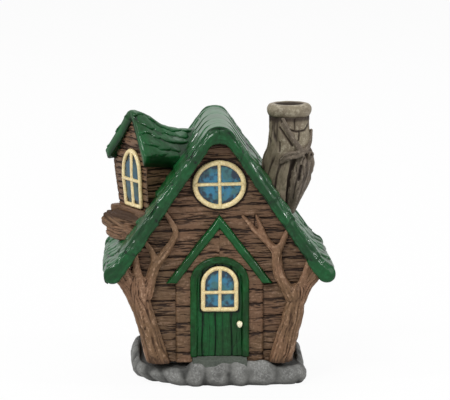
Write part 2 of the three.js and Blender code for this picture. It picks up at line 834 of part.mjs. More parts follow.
function makeDormerWalls(cutter) {
  const aboveRoof = (right, left) => {
    const edge = ({ inner }) => [[farAway, farAway], [farAway, inner[0][1]], ...inner];
    return [...edge(right), ...mirrored(edge(left)).slice(1)];
  };
  const planks = [];
  for (let z = dormerSill + 6; z < dormerRidge - 12; z += 0.75 * plankPitch) {
    planks.push(box(-farAway, farAway, -1, plankSeamDepth, z, z + plankSeamHeight));
  }
  return placeDormer(dormerBlock(0).subtract(joined(planks)))
    .subtract(dormerLoft(aboveRoof, seam, dormerSpanLeft))
    .subtract(cutter);
}

// The worn ledge under the dormer's window, which wraps round its left corner.
function makeDormerSill(cutter) {
  const foot = dormerSill - seam;
  const outline = [
    [-dormerLeft + 5, -sillReach],
    [dormerRight, -sillReach + 0.4],
    [dormerRight, 6],
    [-dormerLeft - 1.5, 6],
    [-dormerLeft - 3.5, 1],
    [-dormerLeft - 2.5, -4.6],
    [-dormerLeft + 0.5, -5.4],
  ];
  const ledge = placeDormer(prismZ(outline, foot, foot + sillRise));
  return ledge.subtract(placeDormer(dormerBlock(seam))).subtract(cutter);
}

// Gnarled logs on the slope that carry the ledge, as points of [x, y, z, radius] from the dormer's foot.
const upperCorbel = [
  [6.5, -11, -6.3, 4.4],
  [0.5, -4.5, -6.2, 5.6],
  [-5.5, 3, -5.9, 5.6],
  [-10.4, 9.2, -5.1, 5],
  [-13.2, 12, -4.3, 3.6],
];
const lowerCorbel = [
  [-1.5, -5, -11.9, 3.8],
  [-6.2, 1.4, -12.3, 4.6],
  [-10.6, 7, -12.7, 4.2],
  [-13.4, 10, -12.9, 3.2],
];
const besideDormer = (points, grow) =>
  points.map(([x, y, z, r]) => [
    dormerX + x * limbUnit,
    dormerY + y * limbUnit,
    dormerSill + z * limbUnit,
    r * limbUnit + grow,
  ]);

// The chimney stack: rings whose left and right reach change with the height.
function makeStack(grow) {
  const collarFoot = chimneyTop - collarHeight - (grow ? 0 : seam);
  const levels = [
    [collarFoot, -stackRadius, stackRadius],
    [collarFoot - 6, -stackRadius, stackRadius],
    [collarFoot - 13, -stackRadius - 0.3, stackRadius + 1.6],
    [collarFoot - 18, -stackRadius - 1.4, stackRadius],
    [collarFoot - 22, -stackRadius - 3.6, stackRadius - 1.6],
    [collarFoot - 34, -stackRadius - 4, stackRadius - 3.6],
    [collarFoot - 48, -stackRadius - 4.4, stackRadius - 7.6],
    [collarFoot - 64, -stackRadius - 3, stackRadius - 10.4],
  ];
  const sides = 22;
  const rings = levels.map(([z, left, right]) =>
    Array.from({ length: sides }, (_, i) => {
      const turn = (-2 * Math.PI * i) / sides;
      const middle = (left + right) / 2;
      return new THREE.Vector3(
        chimneyX + middle + ((right - left) / 2 + grow) * Math.cos(turn),
        chimneyY + (stackRadius + 0.7 + grow) * Math.sin(turn),
        z,
      );
    }),
  );
  return loft(rings.reverse().map((ring) => ring.reverse()));
}

const flue = () =>
  turned([[0, 0], [flueRadius, 0], [flueRadius, farAway], [0, farAway]], chimneyX, chimneyY, 24);

// The thick rolled collar at the chimney's mouth.
function makeCollar() {
  const foot = chimneyTop - collarHeight;
  const roll = collarHeight / 2;
  const outside = Array.from({ length: 7 }, (_, i) => {
    const turn = -Math.PI / 2 + (Math.PI * i) / 6;
    return [collarRadius - roll * 0.75 + roll * 0.75 * Math.cos(turn), foot + roll + roll * Math.sin(turn)];
  });
  return turned(
    [
      [flueRadius, foot],
      ...outside,
      [flueMouthRadius, chimneyTop],
      [flueMouthRadius - 1, chimneyTop - 1],
      [flueRadius, chimneyTop - 4],
      [flueRadius, foot],
    ],
    chimneyX,
    chimneyY,
    28,
  );
}

const burlPoints = [
  [-0.4, -2, -60, 3.2],
  [2.6, -2, -51, 4.6],
  [6.2, -1.4, -41, 5.8],
  [8.6, -1, -32, 5.6],
  [7.6, -1, -24.5, 4.2],
  [6.2, -1, -20.6, 2.6],
];
const besideStack = (points, grow) =>
  points.map(([x, y, z, r]) => [
    chimneyX + x * limbUnit,
    chimneyY + y * limbUnit,
    chimneyTop + z * limbUnit,
    r * limbUnit + grow,
  ]);

// Vines that lie on the stack, as points of [angle round the stack in degrees, height from the top, radius].
const vinePaths = [
  [[250, -8.6, 1.5], [262, -13, 1.6], [276, -18.4, 1.7], [292, -23, 1.7], [306, -26.6, 1.5]],
  [
    [352, -16, 1.4], [336, -20.5, 1.6], [316, -24.4, 1.8], [290, -26.6, 1.7], [266, -27.4, 1.6],
    [244, -30.6, 1.3],
  ],
];
function makeVines(cutter) {
  const tubes = vinePaths.map((path) =>
    limb(
      path.map(([degrees, z, radius]) => {
        const turn = THREE.MathUtils.degToRad(degrees);
        const reach = stackRadius + 0.9 * limbUnit;
        return [
          chimneyX + reach * Math.cos(turn),
          chimneyY + reach * Math.sin(turn),
          chimneyTop + z * limbUnit,
          radius * limbUnit,
        ];
      }),
      6,
      3,
    ),
  );
  return joined(tubes).subtract(cutter);
}

const stubPoints = [
  [9.6, -5.4, -31, 2.1],
  [10.8, -7.4, -28.4, 1.9],
  [11.4, -8.4, -27.2, 1.8],
];

const burner = new THREE.Group();

const base = new THREE.Group();
base.add(
  piece("rock_base", makeBase(), glaze.rock),
  piece("locating_plinth", makePlinth(), glaze.rock),
  piece("dish_cup", makeCup(), glaze.rock),
  piece("door_step", makeDoorStep(), glaze.rock),
);
burner.add(base, piece("ash_dish", makeDish(), glaze.metal));

const house = new THREE.Group();
burner.add(house);

const innerGable = houseHalfDepth - wallThickness;
house.add(
  piece("front_wall", makeGable(frontFace, -innerGable, frontFace, -1), glaze.timber),
  piece("back_wall", makeGable(innerGable, houseHalfDepth, houseHalfDepth, 1), glaze.timber),
  piece("left_wall", makeSideWall(-1), glaze.timber),
  piece("right_wall", makeSideWall(1), glaze.timber),
  piece("porch_panel", makePorchPanel(), glaze.timber),
  piece("porch_gable_trim", makePorchTrim(), glaze.green),
  piece("door_frame", makeDoorFrame(), glaze.green),
  piece("door_leaf", makeDoorLeaf(), glaze.green),
);

const leafFace = frontFace - doorLeafDepth;
house.add(piece("door_knob", makeKnob(), glaze.cream, knobSide, leafFace - seam, doorFoot + knobHeight));

const doorWindow = windowParts(
  (inset) => archOutline(doorWindowHalfWidth, 0, doorWindowHeight, doorWindowArchRise, inset),
  0.42 * doorWindowHeight,
);
const doorWindowGroup = new THREE.Group();
doorWindowGroup.position.set(0, leafFace - seam, doorFoot + doorWindowSill);
doorWindowGroup.add(
  piece("door_window_frame", doorWindow.frame, glaze.cream),
  piece("door_window_pane", doorWindow.pane, glaze.blue),
);

const gableWindow = windowParts(
  (inset) => ellipseOutline(gableWindowHalfWidth, gableWindowHalfHeight, inset),
  0,
);
const gableWindowGroup = new THREE.Group();
gableWindowGroup.position.set(0, frontFace - seam, ridgeHeight - gableWindowDrop);
gableWindowGroup.add(
  piece("gable_window_frame", gableWindow.frame, glaze.cream),
  piece("gable_window_pane", gableWindow.pane, glaze.blue),
);

const narrowFoot = ([x, z]) => {
  const share = Math.min(1, (2 * z) / dormerWindowHeight);
  return [x * THREE.MathUtils.lerp(dormerWindowFoot, 1, share) + 0.4 * (1 - share), z];
};
const dormerArch = (inset) =>
  archOutline(dormerWindowHalfWidth, 0, dormerWindowHeight, dormerWindowArchRise, inset, 10);
const dormerWindow = windowParts(
  (inset) => dormerArch(inset).map(narrowFoot),
  0.47 * dormerWindowHeight,
);
const dormerWindowGroup = new THREE.Group();
dormerWindowGroup.rotation.z = dormerTurn;
dormerWindowGroup.position.set(
  dormerX + dormerWindowShift * Math.cos(dormerTurn) + seam * Math.sin(dormerTurn),
  dormerY + dormerWindowShift * Math.sin(dormerTurn) - seam * Math.cos(dormerTurn),
  dormerSill + sillRise + seam,
);
dormerWindowGroup.add(
  piece("dormer_window_frame", dormerWindow.frame, glaze.cream),
  piece("dormer_window_pane", dormerWindow.pane, glaze.blue),
);
house.add(doorWindowGroup, gableWindowGroup, dormerWindowGroup);

// The slopes, which meet at the ridge, and the bargeboards that end them
const slopeEnd = roofHalfDepth - bargeboardDepth - seam;
const rightSlopeOutline = [...slopeFace(0, true), ...eaveEnd(0), ...soffitFace(0)].reverse();
const splitRidge = box(-seam / 2, seam / 2, -farAway, farAway, 0, farAway);
const ridgeCaps = joined(
  ridgeCapStarts.map((front, i) => ridgeCap(front, ridgeCapStarts[i + 1] ?? slopeEnd)),
);
const rightCaps = ridgeCaps.intersect(box(0, farAway, -farAway, farAway, 0, farAway));
const leftCaps = ridgeCaps.intersect(box(-farAway, 0, -farAway, farAway, 0, farAway));
const rightSlope = prismY(rightSlopeOutline, -slopeEnd, slopeEnd).add(rightCaps).subtract(splitRidge);
const leftSlope = prismY(mirrored(rightSlopeOutline), -slopeEnd, slopeEnd)
  .add(leftCaps)
  .subtract(splitRidge);
const boardRight = [...slopeFace(0.5, false), ...eaveEnd(0), ...soffitFace(0)];
const boardOutline = [...boardRight, ...mirrored(boardRight).slice(1, -1)].reverse();
const bargeboard = (front) => prismY(boardOutline, front, front + bargeboardDepth);
house.add(
  piece("right_roof_slope", rightSlope.subtract(flue()), glaze.green),
  piece("left_roof_slope", leftSlope, glaze.green),
  piece("front_bargeboard", bargeboard(-roofHalfDepth), glaze.green),
  piece("rear_bargeboard", bargeboard(roofHalfDepth - bargeboardDepth), glaze.green),
);

const soffitCutter = aboveSoffit(seam);
const porchBlock = box(
  -porchHalfWidth - seam,
  porchHalfWidth + seam,
  frontFace - porchDepth - seam,
  frontFace,
  0,
  porchTop - trimDrop + seam,
);
const trimCutter = prismY(
  [
    [0, porchTop + 2 * seam],
    [trimReach + 3 * seam, porchTop - trimDrop - seam],
    [-trimReach - 3 * seam, porchTop - trimDrop - seam],
  ].reverse(),
  frontFace - trimDepth - farAway,
  frontFace,
);
const groundCutter = box(-farAway, farAway, -farAway, farAway, -farAway, wallFoot);
const treeCutters = [houseBlock(seam), soffitCutter, groundCutter];
const frontCutters = [...treeCutters, porchBlock, trimCutter];
house.add(
  piece("front_left_tree", makeTree(frontTreeLimbs.left, -1, -1, frontCutters), glaze.bark),
  piece("front_right_tree", makeTree(frontTreeLimbs.right, 1, -1, frontCutters), glaze.bark),
  piece("rear_left_tree", makeTree(rearTreeLimbs, -1, 1, treeCutters), glaze.bark),
  piece("rear_right_tree", makeTree(rearTreeLimbs, 1, 1, treeCutters), glaze.bark),
);

const roofCutter = underRoofFace(seam);
const upperLog = limb(besideDormer(upperCorbel, 0), 9, 2);
const upperGrown = limb(besideDormer(upperCorbel, seam), 9, 2);
const lowerLog = limb(besideDormer(lowerCorbel, 0), 9, 2);
const underSill = box(-farAway, farAway, -farAway, farAway, dormerSill - 2 * seam, farAway);
house.add(
  piece("dormer_walls", makeDormerWalls(roofCutter), glaze.timber),
  piece("dormer_roof", makeDormerRoof(roofCutter), glaze.green),
  piece("dormer_sill", makeDormerSill(roofCutter), glaze.bark),
  piece("upper_corbel_log", upperLog.subtract(roofCutter).subtract(underSill), glaze.bark),
  piece("lower_corbel_log", lowerLog.subtract(roofCutter).subtract(upperGrown), glaze.bark),
);

const stackCutter = makeStack(seam);
const burl = limb(besideStack(burlPoints, 0), 12, 2).subtract(stackCutter).subtract(roofCutter);
const burlCutter = limb(besideStack(burlPoints, seam), 12, 2);
const stub = limb(besideStack(stubPoints, 0), 8, 2).subtract(burlCutter).subtract(stackCutter);
house.add(
  piece("chimney_stack", makeStack(0).subtract(roofCutter).subtract(flue()), glaze.stump),
  piece("chimney_collar", makeCollar(), glaze.stump),
  piece("chimney_burl", burl, glaze.stump),
  piece("chimney_vines", makeVines(stackCutter.add(burlCutter)), glaze.stump),
  piece("burl_stub", stub, glaze.stump),
);

export default burner;
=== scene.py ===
import json
import math
import bpy
import numpy as np
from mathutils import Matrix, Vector

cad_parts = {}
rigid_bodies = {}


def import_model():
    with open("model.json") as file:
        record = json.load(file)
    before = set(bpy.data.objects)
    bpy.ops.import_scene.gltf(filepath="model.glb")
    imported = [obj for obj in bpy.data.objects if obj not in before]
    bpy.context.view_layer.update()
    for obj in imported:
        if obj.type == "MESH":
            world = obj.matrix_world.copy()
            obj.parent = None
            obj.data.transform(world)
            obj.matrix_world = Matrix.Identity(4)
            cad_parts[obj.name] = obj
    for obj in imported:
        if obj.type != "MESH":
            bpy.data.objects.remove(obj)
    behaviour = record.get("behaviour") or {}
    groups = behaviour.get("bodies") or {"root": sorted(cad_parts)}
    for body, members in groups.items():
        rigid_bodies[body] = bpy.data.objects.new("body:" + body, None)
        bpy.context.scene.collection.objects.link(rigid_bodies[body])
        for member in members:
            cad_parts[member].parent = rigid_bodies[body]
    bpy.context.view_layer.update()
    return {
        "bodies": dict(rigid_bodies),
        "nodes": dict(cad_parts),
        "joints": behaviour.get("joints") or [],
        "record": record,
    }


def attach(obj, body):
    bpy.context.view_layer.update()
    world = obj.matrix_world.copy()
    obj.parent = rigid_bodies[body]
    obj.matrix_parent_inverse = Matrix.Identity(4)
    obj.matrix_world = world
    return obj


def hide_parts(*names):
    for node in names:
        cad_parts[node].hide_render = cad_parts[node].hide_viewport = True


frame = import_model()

mm = 0.001
scene = bpy.context.scene
scene.view_settings.view_transform = "Standard"
print("frame loaded")

# camera, lamps and stage
view = {
    "place": (-48.04, -1375.72, 327.13),  # millimetres
    "aim": (4.577, 3.832, 93.523),
    "lens": 204.4,
}
light = {
    "worldStrength": 0.3,
    "floorColour": (0.8, 0.8, 0.8, 1),
    "floorLift": 0.94,
    "aim": (0, 0, 0.07),  # metres
    # the name, place, size and power of each lamp
    "lamps": (("keyLamp", (-0.75, -1.25, 1.5), 0.6, 19.0), ("fillLamp", (1.3, -1.1, 0.8), 0.7, 3.6),
              ("topLamp", (0.1, 0.9, 1.7), 1.5, 14.5), ("rightGlint", (1.65, -0.45, 1.0), 0.25, 9.5),
              ("leftGlint", (-1.6, -0.5, 1.1), 0.25, 9.5)),
}


def linkedObject(name, data):
    item = bpy.data.objects.new(name, data)
    scene.collection.objects.link(item)
    return item


def aimAt(item, place, target):
    item.location = place
    item.rotation_euler = (Vector(target) - Vector(place)).to_track_quat("-Z", "Y").to_euler()


def addNode(tree, kind, given=None, **settings):
    # a node with its settings; each input, by name or number, gets a value or another node's socket
    node = tree.nodes.new(kind)
    for label, value in settings.items():
        setattr(node, label, value)
    for label, value in (given or {}).items():
        if isinstance(value, bpy.types.NodeSocket):
            tree.links.new(value, node.inputs[label])
        elif value is not None:
            node.inputs[label].default_value = value
    return node


def addMath(tree, operation, *values, clamp=False):
    node = addNode(tree, "ShaderNodeMath", dict(enumerate(values)), operation=operation, use_clamp=clamp)
    return node.outputs[0]


def seenDirectly(tree):
    # 1 for what the camera sees, itself or in a gloss, 0 for light that falls on the object
    rays = addNode(tree, "ShaderNodeLightPath").outputs
    return addMath(tree, "MAXIMUM", rays["Is Camera Ray"], rays["Is Glossy Ray"])


def newMaterial(name):
    material = bpy.data.materials.new(name)
    material.use_nodes = True
    return material, material.node_tree, material.node_tree.nodes["Principled BSDF"]


def makeCamera():
    data = bpy.data.cameras.new("photoCamera")
    data.lens, data.sensor_width = view["lens"], 36
    data.clip_start, data.clip_end = 0.01, 50
    scene.camera = linkedObject("photoCamera", data)
    aimAt(scene.camera, Vector(view["place"]) * mm, Vector(view["aim"]) * mm)


def makeLamps():
    for name, place, size, power in light["lamps"]:
        data = bpy.data.lights.new(name, "AREA")
        data.size, data.energy = size, power
        aimAt(linkedObject(name, data), place, light["aim"])


def makeWorld():
    scene.world = bpy.data.worlds.new("paleStudio")
    scene.world.use_nodes = True
    tree = scene.world.node_tree
    tree.nodes.clear()
    level = addNode(tree, "ShaderNodeMapRange", {
        "Value": seenDirectly(tree), "To Min": light["worldStrength"], "To Max": 1.0})
    sky = addNode(tree, "ShaderNodeBackground", {"Color": (1, 1, 1, 1), "Strength": level.outputs["Result"]})
    addNode(tree, "ShaderNodeOutputWorld", {"Surface": sky.outputs[0]})


def makeFloor():
    mesh = bpy.data.meshes.new("floor")
    mesh.from_pydata([(-4, -3, 0), (4, -3, 0), (4, 5, 0), (-4, 5, 0)], [], [(0, 1, 2, 3)])
    material, tree, shader = newMaterial("paleFloor")
    shader.inputs["Base Color"].default_value = light["floorColour"]
    shader.inputs["Roughness"].default_value = 0.9
    # the camera and the glaze see the floor almost white, with the object's own soft shadow on it
    share = addMath(tree, "MULTIPLY", seenDirectly(tree), light["floorLift"])
    glow = addNode(tree, "ShaderNodeEmission")
    both = addNode(tree, "ShaderNodeMixShader", {0: share, 1: shader.outputs[0], 2: glow.outputs[0]})
    tree.links.new(both.outputs[0], tree.nodes["Material Output"].inputs["Surface"])
    mesh.materials.append(material)
    linkedObject("floor", mesh)


makeCamera()
makeLamps()
makeWorld()
makeFloor()
print("camera, lamps and floor ready")


# sums over points, all in millimetres
def smoothStep(low, high, value):
    share = np.clip((value - low) / (high - low), 0, 1)
    return share * share * (3 - 2 * share)


def asPoints(*columns):
    # numbers and grids of numbers, spread to one shape, as points
    return np.stack(np.broadcast_arrays(*columns), axis=-1)


def unit(vectors):
    return vectors / np.linalg.norm(vectors, axis=-1)[..., None]


def runLengths(line):
    # how far along a broken line each of its points lies
    return np.concatenate([[0], np.cumsum(np.linalg.norm(np.diff(line, axis=0), axis=1))])


def fullTurn(count):
    return 2 * np.pi * np.arange(count) / count


def softCos(turn, power):
    # a cosine with its sign, flattened towards a rounded square
    return np.sign(np.cos(turn)) * np.abs(np.cos(turn)) ** power


def softSin(turn, power):
    return np.sign(np.sin(turn)) * np.abs(np.sin(turn)) ** power


def bump(value, power=2):
    # 1 at zero, falling to 0 at 1 and -1
    return np.clip(1 - np.abs(value) ** power, 0, 1)


def latticeNoise(points, size, seed):
    # smooth noise from 0 to 1; size is the length of one cell, one number or one for each axis
    count = 32
    table = np.random.default_rng(seed).random((count, count, count))
    scaled = np.asarray(points) / size
    cell = np.floor(scaled).astype(int)
    part = scaled - cell
    part = part * part * (3 - 2 * part)
    ends, weights = (cell % count, (cell + 1) % count), (1 - part, part)
    total = 0
    for corner in range(8):
        pick = [(corner >> axis) & 1 for axis in range(3)]
        i, j, k = (ends[pick[axis]][..., axis] for axis in range(3))
        a, b, c = (weights[pick[axis]][..., axis] for axis in range(3))
        total = total + a * b * c * table[i, j, k]
    return total


def layeredNoise(points, size, seed, layers=3):
    # from about -1 to 1
    total = 0
    shares = [0.5**layer for layer in range(layers)]
    for layer, share in enumerate(shares):
        total = total + share * (2 * latticeNoise(points, np.asarray(size, float) * share, seed + layer) - 1)
    return total / sum(shares)


def creases(points, size, seed, low):
    # 1 on sharp lines that wander through space, 0 away from them; a higher low makes them thinner
    return smoothStep(low, 1, 1 - np.abs(2 * latticeNoise(points, size, seed) - 1))


def gridQuads(rows, columns, wrap=False):
    row, column = np.meshgrid(np.arange(rows - 1), np.arange(columns if wrap else columns - 1), indexing="ij")
    a, b = row * columns + column, row * columns + (column + 1) % columns
    return asPoints(a, b, b + columns, a + columns).reshape(-1, 4)


def rim(line, other, flip=False):
    # faces between two rows of point numbers
    faces = asPoints(line[:-1], line[1:], other[1:], other[:-1])
    return faces[:, [0, 3, 2, 1]] if flip else faces


def closedSheet(front, back, marks=None, backMark=0.6):
    # two grids of points, joined round their edges; columns run right and rows up, seen from outside
    number = np.arange(front[..., 0].size).reshape(front.shape[:2])
    count = number.size
    quads = gridQuads(*number.shape)
    parts = [quads, quads[:, ::-1] + count]
    for line, flip in ((number[0], True), (number[-1], False), (number[:, 0], False), (number[:, -1], True)):
        parts.append(rim(line, line + count, flip))
    marks = np.ones(count) if marks is None else marks.reshape(-1)
    points = np.concatenate([front.reshape(-1, 3), back.reshape(-1, 3)])
    return points, np.concatenate(parts), np.empty((0, 3), int), np.append(marks, np.full(count, backMark))


def plainBacked(front, backEnds, marks, backMark=0.6):
    # a grid of points with a flat back, which needs only the two ends of each row
    rows, columns = front.shape[:2]
    number = np.arange(rows * columns).reshape(rows, columns)
    left = rows * columns + 2 * np.arange(rows)
    quads = np.concatenate([gridQuads(rows, columns), rim(left, left + 1), rim(number[:, 0], left),
                            rim(number[:, -1], left + 1, True)])
    low, high = number[0], number[-1]
    tris = np.concatenate([asPoints(low[:-1], left[0], low[1:]), [[low[-1], left[0], left[0] + 1]],
                           asPoints(high[:-1], high[1:], left[-1]), [[high[-1], left[-1] + 1, left[-1]]]])
    points = np.concatenate([front.reshape(-1, 3), backEnds.reshape(-1, 3)])
    return points, quads, tris, np.append(marks, np.full(2 * rows, backMark))


def closedRings(rings, marks=None):
    # rings of points, joined one to the next, with a fan at each end
    rows, columns = rings.shape[:2]
    around = np.arange(columns)
    beyond = (around + 1) % columns
    top = (rows - 1) * columns
    tris = np.concatenate([asPoints(rows * columns, beyond, around),
                           asPoints(rows * columns + 1, top + around, top + beyond)])
    points = np.concatenate([rings.reshape(-1, 3), [rings[0].mean(0)], [rings[-1].mean(0)]])
    marks = np.ones((rows, columns)) if marks is None else marks
    marks = np.append(marks, [marks[0].mean(), marks[-1].mean()])
    return points, gridQuads(rows, columns, wrap=True), tris, marks


def closedTorus(rings, marks):
    # rings that close on themselves both ways
    rows, columns = rings.shape[:2]
    quads = gridQuads(rows + 1, columns, wrap=True) % (rows * columns)
    return rings.reshape(-1, 3), quads, np.empty((0, 3), int), marks.reshape(-1)


def turnOutward(shell):
    points, quads, tris, marks = shell
    corners = np.concatenate([tris, quads[:, [0, 1, 2]], quads[:, [0, 2, 3]]])
    a, b, c = (points[corners[:, k]] for k in range(3))
    if np.einsum("ij,ij->", a - points.mean(0), np.cross(b - a, c - a)) < 0:
        quads, tris = quads[:, ::-1], tris[:, ::-1]
    return points, quads, tris, marks


def joinShells(shells):
    points, faces, marks = [], [], []
    start = 0
    for places, quads, tris, shade in map(turnOutward, shells):
        points.append(places)
        marks.append(shade)
        faces += (quads + start).tolist() + (tris + start).tolist()
        start += len(places)
    return np.concatenate(points), faces, np.concatenate(marks)


def setMarks(mesh, marks):
    layer = mesh.attributes.get("relief") or mesh.attributes.new("relief", "FLOAT", "POINT")
    layer.data.foreach_set("value", np.asarray(marks, np.float32))


def setVectors(mesh, name, vectors):
    layer = mesh.attributes.new(name, "FLOAT_VECTOR", "POINT")
    layer.data.foreach_set("vector", vectors.astype(np.float32).ravel())


def toMesh(name, points, faces, marks=None):
    mesh = bpy.data.meshes.new(name)
    mesh.from_pydata((np.asarray(points) * mm).tolist(), [], faces)
    mesh.polygons.foreach_set("use_smooth", np.ones(len(mesh.polygons), bool))
    if marks is not None:
        setMarks(mesh, marks)
    mesh.update()
    return mesh


def readRows(items, label, width, kind=np.float32):
    flat = np.empty(len(items) * width, kind)
    items.foreach_get(label, flat)
    return flat.reshape(-1, width)


def meshPoints(mesh):
    return readRows(mesh.vertices, "co", 3).astype(float) / mm


def meshNormals(mesh):
    return readRows(mesh.vertices, "normal", 3).astype(float)


def setPoints(mesh, points):
    mesh.vertices.foreach_set("co", (points * mm).astype(np.float32).ravel())
    mesh.update()


def relaxed(mesh, rounds):
    # the mesh's points, drawn towards their neighbours' middle again and again
    points = meshPoints(mesh)
    edges = readRows(mesh.edges, "vertices", 2, np.int32)
    first, second = edges.T
    count = len(points)
    degree = np.maximum(np.bincount(edges.ravel(), minlength=count), 1)[:, None]
    for _ in range(rounds):
        total = [np.bincount(first, column[second], count) + np.bincount(second, column[first], count)
                 for column in points.T]
        points = points + 0.6 * (np.stack(total, axis=-1) / degree - points)
    return points


def hollowness(mesh, rounds=8, reach=0.45):
    # how far each point stands above its smoothed surroundings, as 0 in a hollow to 1 on an edge
    height = np.einsum("ij,ij->i", meshPoints(mesh) - relaxed(mesh, rounds), meshNormals(mesh))
    return np.clip(0.5 + 0.5 * height / reach, 0, 1)


def solidObject(name, mesh, body, node, material):
    item = linkedObject(name, mesh)
    mesh.materials.clear()
    mesh.materials.append(material)
    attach(item, body)
    if node:
        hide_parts(node)


def solidShells(name, shells, body, node, material):
    solidObject(name, toMesh(name, *joinShells(shells)), body, node, material)


def evaluatedMesh(item):
    # the object's mesh with its modifiers worked out; the object itself is removed
    graph = bpy.context.evaluated_depsgraph_get()
    graph.update()
    made = bpy.data.meshes.new_from_object(item.evaluated_get(graph))
    bpy.data.objects.remove(item)
    return made


def castTogether(name, shells, voxel):
    # overlapping shells, melted into one skin
    item = linkedObject(name, toMesh(name, *joinShells(shells)[:2]))
    melt = item.modifiers.new("melt", "REMESH")
    melt.mode, melt.voxel_size, melt.use_smooth_shade = "VOXEL", voxel * mm, True
    return evaluatedMesh(item)


# limbs: trees, logs, vines
def curvePoints(knots, steps):
    # a smooth curve through the knots, each a row of any numbers
    knots = np.asarray(knots, float)
    padded = np.concatenate([[2 * knots[0] - knots[1]], knots, [2 * knots[-1] - knots[-2]]])
    rows = []
    for i in range(len(knots) - 1):
        a, b, c, d = padded[i:i + 4]
        for t in np.arange(steps) / steps:
            bend = (2 * a - 5 * b + 4 * c - d) * t**2 + (3 * b - a - 3 * c + d) * t**3
            rows.append(0.5 * (2 * b + (c - a) * t + bend))
    return np.array(rows + [knots[-1]])


def limbFrames(knots, steps=6):
    # a limb's middle line, its radii, the way along it and two ways across it
    rows = curvePoints(knots, steps)
    line = rows[:, :3]
    along = unit(np.gradient(line, axis=0))
    side = unit(np.cross(along[0], [0.3, 0.9, 0.2]))
    sides = []
    for direction in along:
        side = unit(side - direction * side.dot(direction))
        sides.append(side)
    return line, rows[:, 3], along, np.array(sides), np.cross(along, sides)


def limbShell(knots, sides=14):
    # knots are rows of [x, y, z, radius]; the ends are rounded
    line, radii, along, first, second = limbFrames(knots)
    last = len(line) - 1
    frames = np.concatenate([[0, 0, 0], np.arange(last + 1), [last, last, last]])
    lean = np.radians([80, 50, 20])
    ahead = np.concatenate([-np.sin(lean), 0 * radii, np.sin(lean[::-1])]) * radii[frames]
    size = np.concatenate([np.cos(lean), 1 + 0 * radii, np.cos(lean[::-1])]) * radii[frames]
    centres = line[frames] + along[frames] * ahead[:, None]
    turn = fullTurn(sides)[:, None]
    ring = np.cos(turn) * first[frames][:, None] + np.sin(turn) * second[frames][:, None]
    return closedRings(centres[:, None] + ring * size[:, None, None])


def barkCoordinates(points, limbs):
    # for each point: the place round and along its nearest limb, and that limb's radius there
    best = np.full(len(points), np.inf)
    around, size = np.zeros((len(points), 3)), np.zeros(len(points))
    for number, knots in enumerate(limbs):
        line, radii, along, first, second = limbFrames(knots)
        run = runLengths(line)
        for i in range(len(line)):
            offset = points - line[i]
            gap = np.linalg.norm(offset, axis=1) - radii[i]
            nearer = gap < best
            best[nearer] = gap[nearer]
            near = offset[nearer]
            x, y = near @ first[i], near @ second[i]
            reach = np.maximum(np.hypot(x, y), 1e-6)
            around[nearer] = asPoints(x / reach * 4, y / reach * 4, run[i] + near @ along[i] + 37 * number)
            size[nearer] = radii[i]
    return around, size


def carveBark(mesh, limbs, spec):
    points = relaxed(mesh, spec["softening"])
    around, size = barkCoordinates(points, limbs)
    around = around + 0.5 * layeredNoise(points, 7.0, spec["seed"] + 9)[:, None]
    cut = creases(around, (1.5, 1.5, 15.0), spec["seed"], 0.72)
    cut = cut + 0.45 * creases(around, (0.7, 0.7, 9.0), spec["seed"] + 4, 0.75)
    share = np.clip(size / 5, 0.35, 1)
    lump = layeredNoise(points, 6.0, spec["seed"] + 2)
    setVectors(mesh, "alongBark", around)
    setPoints(mesh, points)
    points = points - meshNormals(mesh) * (cut * spec["depth"] * share - lump * spec["lump"] * share)[:, None]
    setPoints(mesh, points)
    return points, 1 - np.clip(cut * share * spec["wash"], 0, 1)


# carved planks
def strokePicture(width, height, spec, seed):
    # carved strokes on a sheet of width by height, as depths from 0 to 1
    cell = spec["cell"]
    rng = np.random.default_rng(seed)
    picture = np.zeros((int(height / cell) + 2, int(width / cell) + 2))
    for stroke in range(int(width * height * spec["strokes"])):
        u, v = rng.random() * width, rng.random() * height
        half, thick = rng.uniform(*spec["strokeHalf"]), rng.uniform(*spec["strokeThick"])
        deep, lean = rng.uniform(0.45, 1.0), rng.normal(0, 0.035)
        low = max(int((u - half) / cell), 0)
        high = min(int((u + half) / cell) + 1, picture.shape[1])
        if high <= low:
            continue
        along = np.arange(low, high) * cell - u
        middle = v + lean * along + 0.18 * np.sin(along * rng.uniform(0.3, 0.9) + rng.random() * 6)
        taper = np.sqrt(bump(along / half, 2.2))
        reach = int(thick * 2 / cell) + 2
        base = int(v / cell)
        for row in range(max(base - reach - 3, 0), min(base + reach + 4, picture.shape[0])):
            across = (row * cell - middle) / np.maximum(thick * taper, 1e-3)
            picture[row, low:high] = np.maximum(picture[row, low:high], deep * taper * bump(across))
    return picture


def samplePicture(picture, u, v, cell):
    x = np.clip(u / cell, 0, picture.shape[1] - 1.001)
    y = np.clip(v / cell, 0, picture.shape[0] - 1.001)
    i, j = x.astype(int), y.astype(int)
    fx, fy = x - i, y - j
    low = picture[j, i] * (1 - fx) + picture[j, i + 1] * fx
    high = picture[j + 1, i] * (1 - fx) + picture[j + 1, i + 1] * fx
    return low * (1 - fy) + high * fy


